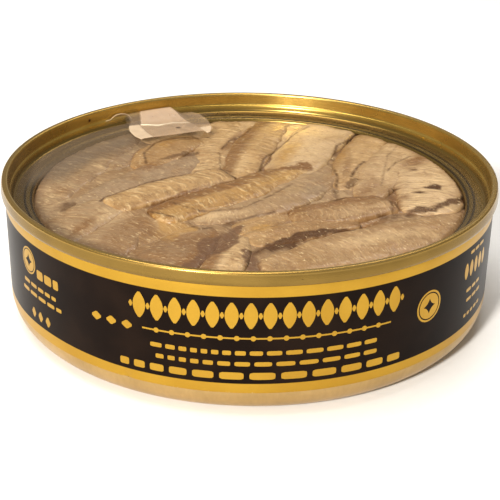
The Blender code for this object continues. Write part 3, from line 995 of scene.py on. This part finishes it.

# %% [markdown]
# Where one fish lies on another a thin line of painted shade lies in the crease, and the skin has split
# in places.
# Those lines are drawn as chains of points in the plan, with their half width and strength.

# %% Table of dark lines
CREASES = [
    (0.34, 1.0, [(-30.5, -8), (-30, -5.5), (-20, 4), (-11, 10.5), (-7, 11), (-5.5, 9.5), (-3, 5)]),
    (0.30, 0.8, [(-16, -9), (-10, -13), (-2, -11), (0, -9), (5, -3), (9, 3)]),
    (0.34, 0.8, [(2, 10), (3, 18), (6, 24), (8, 29), (10, 34), (14, 40)]),
    (0.40, 0.9, [(17.5, -5), (19, 8), (18, 15), (20, 27), (27, 38)]),
    (0.34, 0.9, [(-6.5, 24), (-5, 30), (-1, 35), (0, 38)]),
    (0.30, 0.6, [(-7, 22), (-6.5, 12), (-3, 8)]),
    (0.45, 1.0, [(25.5, 17), (23, 12), (22, 8)]),
    (0.30, 0.8, [(30, 11), (33, 17), (36, 20)]),
    (0.40, 0.8, [(27, -14), (30, -12), (37, -9), (43, -5)]),
    (0.40, 0.8, [(2.5, -30), (8, -25), (13, -22.5), (20, -20.3)]),
    (0.36, 0.9, [(-23, 14), (-24, 20), (-22, 27), (-17, 31), (-10, 32)]),
    (0.46, 1.0, [(-17, 19), (-15, 20), (-12, 22)]),
    (0.36, 0.8, [(29, -11), (29.4, 0)]),
    (0.40, 0.9, [(-21, -12.6), (-12, -18), (-9.5, -21), (-2, -16), (5, -12)]),
    (0.30, 0.35, [(-22, -12), (-11, -1), (-3, 5), (4, 12), (12, 16.5)]),
    (0.30, 0.5, [(28, 3), (31, 20), (35, 30)]),
]

# %% [markdown]
# The loft walks along the spine in steps of 0.4 mm and lays one section at each step; the row
# below takes longer steps. Gentle noise bends the edges and dimples the top, so that no two
# fish are alike. The top is held just under the film, and near the ring it dives under the
# curled edge.

# %% Lofting a sprat
FINE, COARSE = (0.4, 36), (1.3, 13)
SPREAD, FLATNESS, EDGE_DROP = 1.15, 0.4, 1.35
UNDERSIDE = CORE_TOP - 1.4
DIMPLES = ((0.22, 4.5), (0.09, 1.3))
RIM_START, RIM_END, RIM_DIVE = 44.0, 44.7, 1.45
UNDER_FILM = FILM_HEIGHT - 0.06
CORE_REACH = 47.6


def fish_width(share, length, width, tail, shoulder):
    """Share of the full width at a place along the fish, rounded off at both ends."""
    end = tail if share < 0.5 else shoulder
    near = min(share, 1.0 - share)
    plump = end + (1.0 - end) * math.sin(0.5 * math.pi * min(1.0, near / 0.5))
    tip = near * length / (0.25 * width)
    if tip < 1.0:
        plump *= 0.25 + 0.75 * math.sqrt(1.0 - (1.0 - tip) ** 2)
    return plump


def under_rim(x, y, z):
    """Keeps a point below the film, and below the ring's curled edge near the wall."""
    radius = math.hypot(x, y)
    share = max(0.0, min(1.0, (radius - RIM_START) / (RIM_END - RIM_START)))
    return min(z, UNDER_FILM - RIM_DIVE * share * share * (3.0 - 2.0 * share))


def loft_sprat(row, number):
    """Points, faces and stored values of one fish."""
    x0, y0, x1, y1, bow, width, depth, tail, shoulder = row[1:10]
    length = math.hypot(x1 - x0, y1 - y0)
    ax, ay = (x1 - x0) / length, (y1 - y0) / length
    stride, columns = COARSE if row[0] == "lower" else FINE
    stations = max(12, int(length / stride))
    points, along, across = [], [], []
    for i in range(stations):
        station = i / (stations - 1)
        share = min(1.0, max(0.0, station + 0.02 * math.sin(math.tau * station)))
        lean = 4.0 * bow * (1.0 - 2.0 * share) / length
        size = math.hypot(1.0, lean)
        nx, ny = (-ay - ax * lean) / size, (ax - ay * lean) / size
        offset = 4.0 * bow * share * (1.0 - share)
        cx = x0 + ax * length * share - ay * offset
        cy = y0 + ay * length * share + ax * offset
        plump = fish_width(share, length, width, tail, shoulder)
        top = FILM_HEIGHT - depth - (1.0 - plump) * 0.9
        left, right = (
            1.0 + 0.10 * noise.noise(Vector((length * share / 3.2, number * 7.3, seed)))
            for seed in (1.5, 9.5)
        )
        for k in range(columns + 2):
            if k in (0, columns + 1):
                u, v = (-0.96 if k == 0 else 0.96), None
            else:
                even = 2.0 * (k - 1) / (columns - 1) - 1.0
                u = even * (1.25 - 0.25 * even * even)
                v = max(0.0, 1.0 - abs(u) ** 6) ** FLATNESS
            half = 0.5 * width * SPREAD * plump * (left if u > 0 else right)
            x, y = cx + nx * u * half, cy + ny * u * half
            if v is None:
                z = UNDERSIDE
            else:
                z = top - EDGE_DROP * (1.0 - v)
                for depth_of, size_of in DIMPLES:
                    z += depth_of * noise.noise(Vector((x / size_of, y / size_of, number * 3.1)))
                z = under_rim(x, y, z)
            inward = min(1.0, CORE_REACH / math.hypot(x, y))
            points.append((x * inward, y * inward, z))
            along.append(length * share)
            across.append(u)
    ring = columns + 2
    faces = [
        (i * ring + k, (i + 1) * ring + k, (i + 1) * ring + (k + 1) % ring, i * ring + (k + 1) % ring)
        for i in range(stations - 1)
        for k in range(ring)
    ]
    faces.append(tuple(range(ring)))
    faces.append(tuple((stations - 1) * ring + k for k in reversed(range(ring))))
    return points, faces, along, across


# %% [markdown]
# All the sprats are joined into one mesh, because the export treats one kind of thing as one
# piece. Each corner keeps its distance along its fish, its place across it, how stained it is
# and how much shade is painted on it, so the finish can follow every fish's own direction.
# Small strays make the stains' edges ragged; they start from a fixed seed, so that every run
# gives the same fish.

# %% Building the layer of sprats
def oval(xs, ys, spot):
    """1 in the middle of a soft oval, falling to 0 half as far again as its edge."""
    x, y, half_long, half_wide, turn = spot
    c, s = math.cos(math.radians(turn)), math.sin(math.radians(turn))
    dx, dy = xs - x, ys - y
    u, v = (dx * c + dy * s) / half_long, (-dx * s + dy * c) / half_wide
    return np.clip(1.35 - 0.9 * np.hypot(u, v), 0.0, 1.0)


def chain(xs, ys, points):
    """Distance from each place to a chain of straight pieces."""
    best = np.full(len(xs), 1e9)
    for (ax, ay), (bx, by) in zip(points, points[1:]):
        dx, dy = bx - ax, by - ay
        share = np.clip(((xs - ax) * dx + (ys - ay) * dy) / (dx * dx + dy * dy), 0.0, 1.0)
        best = np.minimum(best, np.hypot(xs - ax - share * dx, ys - ay - share * dy))
    return best


def patch(xs, ys, corners):
    """1 inside a many-sided patch, falling to 0 within half a millimetre of it."""
    closed = corners + corners[:1]
    inside = np.zeros(len(xs), bool)
    for (ax, ay), (bx, by) in zip(closed, closed[1:]):
        lean = (bx - ax) / ((by - ay) or 1e-9)
        inside ^= ((ay > ys) != (by > ys)) & (xs < ax + (ys - ay) * lean)
    near = np.clip(1.0 - chain(xs, ys, closed) / 0.5, 0.0, 1.0)
    return np.where(inside, 1.0, near)


CELL, CELLS = 0.25, 400
DEEP = 0.45
STRAY_SEED = 7


def hollows(place):
    """How far each point lies below the mean height round it, from 0 on open skin to 1. The skin is
    painted darker by it, as shade.
    """
    spots = np.clip((place[:, :2] / CELL + CELLS / 2).astype(int), 1, CELLS - 2)
    heights = np.full((CELLS, CELLS), CORE_TOP)
    np.maximum.at(heights, (spots[:, 0], spots[:, 1]), place[:, 2])
    for axis in (0, 1):
        for step in (-1, 1):
            heights = np.maximum(heights, np.roll(heights, step, axis))
    mean = heights
    for axis in (0, 1):
        mean = sum(np.roll(mean, step, axis) for step in range(-4, 5)) / 9.0
    lower = mean[spots[:, 0], spots[:, 1]] - place[:, 2]
    return np.clip(lower / DEEP, 0.0, 1.0)


def build_sprats():
    points, faces, fields = [], [], {"along": [], "across": []}
    skin = {key: [] for key in ("back", "gold", "pale", "grey", "ribs", "fish")}
    for number, row in enumerate(SPRATS):
        some, these, along, across = loft_sprat(row, number)
        start = len(points)
        points += some
        faces += [tuple(start + i for i in face) for face in these]
        fields["along"] += along
        fields["across"] += across
        for key, value in zip(("back", "gold", "pale", "grey", "ribs"), row[10:15]):
            skin[key] += [float(value)] * len(some)
        skin["fish"] += [float(number)] * len(some)
    place = np.array(points)
    xs, ys = place[:, 0], place[:, 1]
    values = {key: np.array(value) for key, value in {**fields, **skin}.items()}
    across, back = values["across"], values["back"]
    values["brown_and_shade"] = np.clip((across * back - 0.12) / 0.3, 0.0, 1.0) * 0.8 * np.abs(back)
    values["dark"] = np.zeros(len(xs))
    values["shade"] = np.zeros(len(xs))
    noise.seed_set(STRAY_SEED)
    strays = np.array([noise.noise_vector(Vector((x / 1.5, y / 1.5, 3.0))) for x, y in zip(xs, ys)])
    ragged_x, ragged_y = xs + 0.7 * strays[:, 0], ys + 0.7 * strays[:, 1]
    uneven = np.clip(0.85 + 0.9 * strays[:, 2], 0.35, 1.0)
    for *spot, kind, strength in STAINS:
        values[kind] = np.maximum(values[kind], oval(ragged_x, ragged_y, spot) * strength)
    for kind, strength, corners in PATCHES:
        inside = patch(ragged_x, ragged_y, corners) * strength
        values[kind] = np.maximum(values[kind], inside)
    rim_shadow = 0.6 * np.clip((np.hypot(xs, ys) - 42.6) / 2.0, 0.0, 1.0)
    values["shade"] = np.maximum(values["shade"], rim_shadow)
    # The creases paint shade where one fish lies on another, and mark splits in the skin.
    for half, strength, line in CREASES:
        lined = np.exp(-((chain(xs, ys, line) / (0.9 * half)) ** 2)) * strength * uneven
        values["dark"] = np.maximum(values["dark"], lined)
    values["hollow_shade"] = hollows(place)
    mesh = bpy.data.meshes.new("sprat_layer")
    mesh.from_pydata([tuple(v * MM for v in point) for point in points], [], faces)
    for key, value in values.items():
        if key != "back":
            mesh.attributes.new(key, "FLOAT", "POINT").data.foreach_set("value", value)
    mesh.shade_smooth()
    mesh.set_sharp_from_angle(angle=math.radians(60.0))
    thing = bpy.data.objects.new("sprat_layer", mesh)
    bpy.context.scene.collection.objects.link(thing)
    return thing


sprat_layer = build_sprats()

# %% [markdown]
# Skin and flesh show the bands of muscle as fine ribs across the fish, bent a little towards
# the tail. They are a wave of the distance along the fish, warped by noise, that tints the skin
# and lifts it slightly. Fine grit that follows the fish stands for scales and torn fibres, and
# its pale specks are painted glints. Scattered slivers are smoother than the rest and carry
# painted glints too. Shade is painted into the hollows, along the creases, towards each fish's
# sides, under some fish edges and near the rim. A thin film of oil over it all is the shader's
# clear coat, which the dark places lack.

# %% Smoked skin
def smoked_skin():
    finish = Finish("smoked_skin")
    x, y, z = finish.place()
    here = finish.spot(x, y, z)
    along, across = finish.stored("along"), finish.stored("across")
    ribs, fish = finish.stored("ribs"), finish.stored("fish")
    broad = finish.grain(here, 0.2, 3.0)
    middle = finish.grain(here, 0.75, 4.0, 0.6)
    fine = finish.grain(here, 2.6, 3.0, 0.6)
    side = across * 5.0
    bend = along + abs(across) * 1.5 + (broad - 0.5) * 2.4 + (middle - 0.5) * 0.8
    bands = finish.grain(finish.spot(bend * 0.95, side * 0.13, fish * 7.0), 1.0, 2.0, 0.5)
    streak = finish.grain(finish.spot(along * 0.5, side * 0.4, fish * 5.0), 1.0, 3.0, 0.6)
    ribbed = rise(streak, 0.36, 0.6) * ribs
    rib = rise(bands, 0.5, 0.64) * ribbed
    dip = rise(1.0 - bands, 0.5, 0.64) * ribbed
    patches = finish.grain(finish.spot(along * 0.16, side * 0.22, fish * 3.0), 1.0, 2.0)
    brown_and_shade = finish.stored("brown_and_shade") * (0.75 + 0.5 * middle)
    hollow_shade, shade = finish.stored("hollow_shade"), finish.stored("shade")
    dark = finish.stored("dark") * (0.7 + 0.6 * fine)
    dull = clamped(dark + shade * 0.6)
    slivers = finish.grain(finish.spot(along * 3.0, side * 0.8, fish * 9.0), 1.0, 1.0)
    sliver_glint = rise(slivers, 0.62, 0.7) * rise(middle, 0.5, 0.62)
    grit = finish.grain(finish.spot(bend * 2.4, side * 0.75, fish * 11.0), 1.0, 3.0, 0.6)
    light = rise(grit, 0.53, 0.7) * (0.25 + 0.75 * rise(middle, 0.4, 0.6)) * (1.0 - dull)
    colour = finish.layered(
        finish.blend(rise(broad, 0.3, 0.7), paint(152, 118, 78), paint(132, 97, 57)),
        (finish.stored("grey"), paint(122, 103, 83)),
        (finish.stored("pale"), paint(198, 167, 124)),
        (finish.stored("gold") * 0.9, paint(166, 124, 60)),
        (rise(patches, 0.5, 0.75) * 0.5, paint(130, 92, 50)),
        (rise(middle, 0.5, 0.72) * 0.5, paint(114, 78, 42)),
        (rib * 0.5, paint(216, 184, 134)),
        (dip * 0.5, paint(112, 78, 44)),
        # Browned skin, and painted shade under some fish edges.
        (clamped(brown_and_shade), paint(112, 72, 28)),
        # Painted shade in the hollows between fish.
        (rise(hollow_shade, 0.15, 0.9) * 0.7, paint(100, 66, 36)),
        # Painted shade towards each fish's sides, where its top curves away from the light.
        (rise(abs(across), 0.4, 1.0) * 0.25, paint(112, 77, 43)),
        (shade * 0.9, paint(96, 66, 42)),
        # Dark spots and splits in the skin, and painted shade along the creases.
        (clamped(dark), paint(70, 40, 9)),
        # Painted glints on the slivers.
        (sliver_glint * 0.6, paint(240, 214, 165)),
        # Painted glints on the pale specks of grit.
        (light * 0.45, paint(230, 200, 150)),
        (rise(1.0 - grit, 0.54, 0.7) * 0.35, paint(104, 70, 38)),
    )
    height = rib * 0.8 + middle * 0.8 + fine * 0.35 - finish.stored("dark") * 0.8
    return finish.surface(
        Base_Color=colour,
        Roughness=0.42 - 0.16 * sliver_glint + 0.2 * dull,
        IOR_Level=0.24,
        Coat_Weight=0.24 * (1.0 - dull),
        Coat_Roughness=0.2,
        Normal=finish.bump(height + grit * 0.5, 0.65, 0.00022),
    )


settle(sprat_layer, "sprats", smoked_skin())

# %% [markdown]
# ## The oil
#
# Golden-brown oil stands in the gaps between the fish, over the darker layers below. It is one
# closed body that reaches the wall, its top a little under the backs of the fish and drawn up
# slightly where it wets the wall. Over dark fish, deep oil looks like brown glass, so a deep
# colour with a quiet gloss is enough, and it stays right in every viewer.

# %% Oil
OIL_LEVEL, OIL_RADIUS = 22.5, 50.15


def make_oil():
    level, wall = OIL_LEVEL, OIL_RADIUS
    outline = [(0.0, level), (20.0, level), (36.0, level), (46.5, level + 0.05)]
    outline += [(49.3, level + 0.25), (wall, level + 0.7), (wall, 6.0)]
    outline += arc(wall - 4.75, 4.9, 4.75, -10.0, -88.0, 8) + [(43.0, 1.1), (0.0, 1.4)]
    return turned("oil", outline, closed=False, steps=192)


def oil_finish():
    finish = Finish("brown_oil")
    x, y, z = finish.place()
    clouds = finish.grain(finish.spot(x, y, z), 0.25, 4.0)
    crumbs = finish.grain(finish.spot(x, y, z), 1.6, 4.0, 0.65)
    colour = finish.blend(rise(clouds, 0.3, 0.7), paint(92, 58, 28), paint(74, 45, 21))
    colour = finish.blend(rise(crumbs, 0.55, 0.7) * 0.5, colour, paint(128, 92, 52))
    return finish.surface(
        Base_Color=colour,
        Roughness=0.2 + 0.2 * crumbs,
        IOR_Level=0.16,
        Coat_Weight=0.05,
        Coat_Roughness=0.1,
        Normal=finish.bump(crumbs, 0.2, 0.0002),
    )


settle(make_oil(), "sprats", oil_finish())

# %% [markdown]
# ## The clear film
#
# The film is a thin disc sealed on the ledge. Clear film is mostly seen by what it adds: a weak
# veil of light and a soft reflection. It is drawn as a see-through shader whose opacity is low
# in the open middle and higher over the welded ring, and the disc itself is faintly uneven, as
# heat-sealed film is. At the back left a dark reflection is painted into it as a grey haze,
# behind a soft border that runs slantwise.

# %% Film mesh
FILM_RADIUS, WELD_RADIUS = 48.3, 45.0
SLACK = 0.05


def rippled(angle, radius, height):
    """Slack in the open part of the film, none where it is welded."""
    slack = max(0.0, min(1.0, (WELD_RADIUS - radius) / 6.0))
    x, y = radius * math.sin(angle), -radius * math.cos(angle)
    wave = noise.noise(Vector((x / 17.0, y / 11.0, 4.0))) + 0.4 * noise.noise(
        Vector((x / 6.0, y / 5.0, 8.0))
    )
    return radius, height + SLACK * slack * wave


def make_film():
    radii = [FILM_RADIUS, 47.6, 46.5, WELD_RADIUS, 43.0, 41.0, 39.0]
    radii += [39.0 - 1.5 * i for i in range(1, 26)] + [0.0]
    top = [(r, FILM_HEIGHT + FILM_THICKNESS) for r in radii]
    low = [(r, FILM_HEIGHT) for r in reversed(radii)]
    return turned("film_disc", top + low, steps=192, shift=rippled)


film_disc = make_film()

# %% Film finish
def film_clear():
    finish = Finish("clear_film")
    x, y, z = finish.place()
    radius = reach(x, y)
    streaks = finish.grain(finish.spot(x * 0.6, y * 0.25, z), 0.35, 3.0)
    weld = rise(radius, 45.2, 46.4) * (1.0 - rise(radius, 47.5, 48.2) * 0.5)
    # Painted reflection: a dark grey haze at the back left, behind a slanting border.
    dark_reflection = rise(-0.82 * x + 0.57 * y + 7.0 * (streaks - 0.5), 32.5, 39.5)
    alpha = 0.006 + 0.012 * rise(streaks, 0.45, 0.75) + 0.03 * weld + 0.27 * dark_reflection
    return finish.surface(
        Base_Color=paint(128, 110, 90),
        Roughness=0.1 + 0.12 * streaks,
        IOR_Level=0.8,
        Alpha=alpha,
        Normal=finish.bump(streaks, 0.15, 0.0002),
    )


settle(film_disc, "film", film_clear())

# %% [markdown]
# ## The pull tab
#
# The tab is the film's own tongue, folded back on itself against the ring's wall and pressed
# down on the film. Its sides are drawn as lines of points seen from above, given as millimetres
# to the right along the wall and outwards from the tin's axis; each strip between them follows
# the same path over the fold. A crease runs across it, its two free corners are frosted where
# the plastic was bent, and left of it a narrow flap of the same film stands against the wall.

# %% Tab outline
TAB_ANGLE = math.radians(117.5)
TAB_THICKNESS = 0.16
TAB_REACH = 48.95
HINGE_LEFT, HINGE_WIDTH = -8.9, 17.3
FREE_LEFT, FREE_WIDTH = -10.4, 16.6
FLAP_LEFT, FLAP_WIDTH = -14.4, 7.1
LEFT_SIDE = [(-8.9, 48.1), (-8.9, 44.7), (-10.2, 42.7), (-10.8, 40.7), (-10.9, 37.3), (-10.4, 34.4)]
RIGHT_SIDE = [(8.4, 48.2), (9.5, 45.9), (9.5, 42.9), (9.3, 40.4), (8.6, 37.5), (7.8, 35), (6.2, 32.5)]
FREE_EDGE = [(-10.4, 34.4), (-9.5, 34.9), (0, 34.3), (4.2, 34.2), (5.4, 32.2), (6.2, 32.5)]
TAB_CREASE = [(-6.9, 43.1), (-3, 41.7), (0.7, 41.8), (4.6, 40.6), (5.7, 36.3)]
FLAP_EDGE = [(-14.4, 26.4), (-13.1, 26.4), (-12.2, 27), (-11.3, 27.3), (-10.2, 27.3), (-8.8, 27),
             (-7.9, 26.4), (-7.3, 25.4)]


def follow(line, value, known=0):
    """The other number of a line's point, where the known one has this value."""
    points = sorted(line, key=lambda point: point[known])
    return float(np.interp(value, [p[known] for p in points], [p[1 - known] for p in points]))


def tab_path(share):
    """Distance from the tin's axis and height, from the hinge over the fold to the free edge."""
    across = HINGE_LEFT + HINGE_WIDTH * share
    fold = 2.25 - 1.9 * max(0.0, min(1.0, (across - 2.9) / 2.6))
    edge = math.sqrt(TAB_REACH ** 2 - across ** 2)
    front = follow(FREE_EDGE, FREE_LEFT + FREE_WIDTH * share)
    base = FILM_HEIGHT + 0.5 * FILM_THICKNESS
    return [
        (edge - 2.3, base), (edge - 1.3, base + 0.03), (edge - 0.45, base + 0.22 * fold),
        (edge - 0.02, base + 0.62 * fold), (edge - 0.15, base + 0.93 * fold),
        (edge - 0.75, base + 1.0 * fold), (edge - 1.9, base + 0.80 * fold + 0.10),
        (edge - 3.6, base + 0.48 * fold + 0.22), (edge - 5.6, base + 0.16 * fold + 0.38),
        (edge - 8.2, base + 0.44), (0.5 * (edge - 8.2 + front), base + 0.40),
        (front, base + 0.46),
    ]


def smooth_path(points, pieces=6):
    """A Catmull-Rom curve through the points."""
    path = []
    for i in range(len(points) - 1):
        quad = [Vector(points[max(0, min(len(points) - 1, i + k))]) for k in (-1, 0, 1, 2)]
        a, b, c, d = quad
        for j in range(pieces):
            t = j / pieces
            path.append(0.5 * (2 * b + (c - a) * t + (2 * a - 5 * b + 4 * c - d) * t * t
                               + (3 * b - a - 3 * c + d) * t ** 3))
    path.append(Vector(points[-1]))
    return path


def soft(distance):
    """0 to 1 over a third of a millimetre."""
    return max(0.0, min(1.0, distance / 0.35 + 0.5))


def tab_looks(across, out):
    """How milky, frosted and marked the upper layer of the tab is at a place, how far it lies from the
    crease, and how strong the painted highlight along the crease is.
    """
    line = follow(TAB_CREASE, min(across, 5.7))
    behind = soft(out - line)
    left = soft(-4.9 - 0.36 * (48.7 - out) - across)
    right = soft(across - 3.1 - 0.18 * (48.9 - out))
    cover = 0.43 - 0.36 * left * behind - 0.27 * right - 0.12 * (1.0 - behind)
    frost = max(soft(-7.4 - across) * soft(43.2 - out), soft(across - 5.2) * soft(36.6 - out))
    glint = float(np.interp(across, (-7.2, -6.8, -2.5, -1.0, 4.5, 5.4), (0, 1, 1, 0.5, 0.4, 0)))
    speck = 2.0 - 1.1 * math.hypot((across - 0.6) / 0.55, (out - 38.4) / 0.4)
    diamond = 0.7 * (1.7 - abs(across - 3.8) / 1.3 - abs(out - 38.6) / 1.4)
    mark = max(0.0, min(1.0, speck), min(0.5, diamond))
    return {
        "cover": max(cover, 0.52 * frost), "frost": frost, "crease": out - line,
        "glint": glint, "mark": mark,
    }


# %% Tab mesh
TAB_COLUMNS, FLAP_COLUMNS = 81, 30
HINGE_ROWS, FOLD_ROWS, LOOSE_ROW = 22, 30, 40
FLAP_ROWS = ((0.0, 0.0), (0.5, 0.02), (0.9, 0.06), (0.94, 0.5), (1.0, 0.5))


def tab_spot(across, out, height):
    """A point of the tab, from millimetres along the wall, outwards from the axis and up."""
    outward = Vector((math.cos(TAB_ANGLE), math.sin(TAB_ANGLE), 0))
    aside = Vector((math.sin(TAB_ANGLE), -math.cos(TAB_ANGLE), 0))
    return (outward * out + aside * across) * MM + Vector((0, 0, height * MM))


def make_tab():
    shape = bmesh.new()
    looks = []
    tab, flap = [], []
    for i in range(TAB_COLUMNS):
        share = i / (TAB_COLUMNS - 1)
        column = []
        for j, (out, height) in enumerate(smooth_path(tab_path(share))):
            left, right = follow(LEFT_SIDE, out, 1), follow(RIGHT_SIDE, out, 1)
            across = left + (right - left) * share
            free = max(0.0, min(1.0, (j - LOOSE_ROW) / 12))
            crumple = noise.noise(Vector((across / 3.0, out / 3.4, 2.0)))
            crumple += 0.5 * noise.noise(Vector((across / 1.2, out / 1.4, 5.0)))
            height += 0.14 * free * abs(crumple)
            column.append(shape.verts.new(tab_spot(across, out, height)))
            looks.append(tab_looks(across, out))
            if j < FOLD_ROWS:
                looks[-1].update(frost=0.0, glint=0.0, mark=0.0)
            if j < HINGE_ROWS:
                looks[-1]["cover"] = 0.05
        tab.append(column)
    for i in range(FLAP_COLUMNS):
        across = FLAP_LEFT + FLAP_WIDTH * i / (FLAP_COLUMNS - 1)
        out = math.sqrt((TAB_REACH - 0.05) ** 2 - across ** 2)
        low, high = FILM_HEIGHT + 0.2, follow(FLAP_EDGE, across)
        column = []
        for share, cover in FLAP_ROWS:
            height = low + (high - low) * share
            column.append(shape.verts.new(tab_spot(across, out, height)))
            look = {"cover": cover, "frost": cover, "crease": 1.0, "glint": 0.0, "mark": 0.0}
            looks.append(look)
        flap.append(column)
    for grid in (tab, flap):
        for here, there in zip(grid, grid[1:]):
            for j in range(len(here) - 1):
                shape.faces.new((here[j], here[j + 1], there[j + 1], there[j]))
    made = finished("pull_tab", shape, 60.0)
    for key in looks[0]:
        kept = made.data.attributes.new(key, "FLOAT", "POINT")
        kept.data.foreach_set("value", [look[key] for look in looks])
    return made


pull_tab = make_tab()
thick = pull_tab.modifiers.new("thickness", "SOLIDIFY")
thick.thickness = TAB_THICKNESS * MM
thick.offset = 0.0

# %% Tab finish
def tab_frosted():
    finish = Finish("tab_film")
    x, y, z = finish.place()
    cloud = finish.grain(finish.spot(x, y, z), 0.5, 3.0)
    frost, mark = finish.stored("frost"), finish.stored("mark")
    off_crease = abs(finish.stored("crease") + 0.3 * (cloud - 0.5))
    # Painted highlight: a bright line along the crease, strongest on its left part.
    crease = (1.0 - rise(off_crease, 0.1, 0.3)) * finish.stored("glint")
    colour = finish.layered(
        finish.blend(frost, paint(214, 182, 148), paint(228, 202, 168)),
        (crease, paint(255, 246, 216)),
        (mark, paint(64, 40, 24)),
    )
    cover = finish.stored("cover") * (0.75 + 0.5 * cloud)
    alpha = cover + 0.5 * crease + 0.8 * mark
    return finish.surface(
        Base_Color=colour,
        Roughness=0.34 + 0.2 * frost,
        IOR_Level=0.45,
        Alpha=clamped(alpha),
        Normal=finish.bump(cloud, 0.3, 0.0003),
    )


settle(pull_tab, "film", tab_frosted())

# %% [markdown]
# ## The floor
#
# The tin stands on a plain pale surface, wide enough to fill every view. It is not part of the
# object. Its finish is rough, so the reflection in it is soft, and a faint tooth varies its colour.

# %% Floor
FLOOR_RADIUS, FLOOR_CORNERS = 3.0, 96


def make_floor():
    shape = bmesh.new()
    rim = []
    for i in range(FLOOR_CORNERS):
        angle = math.tau * i / FLOOR_CORNERS
        x, y = FLOOR_RADIUS * math.cos(angle), FLOOR_RADIUS * math.sin(angle)
        rim.append(shape.verts.new((x, y, 0.0)))
    shape.faces.new(rim)
    floor = finished("floor", shape)
    finish = Finish("pale_floor")
    x, y, z = finish.place()
    tooth = finish.grain(finish.spot(x, y, z), 0.4, 3.0)
    colour = finish.blend(tooth, paint(246, 244, 241), paint(241, 239, 236))
    floor.data.materials.append(finish.surface(Base_Color=colour, Roughness=0.7, IOR_Level=0.2))
    return floor


make_floor()
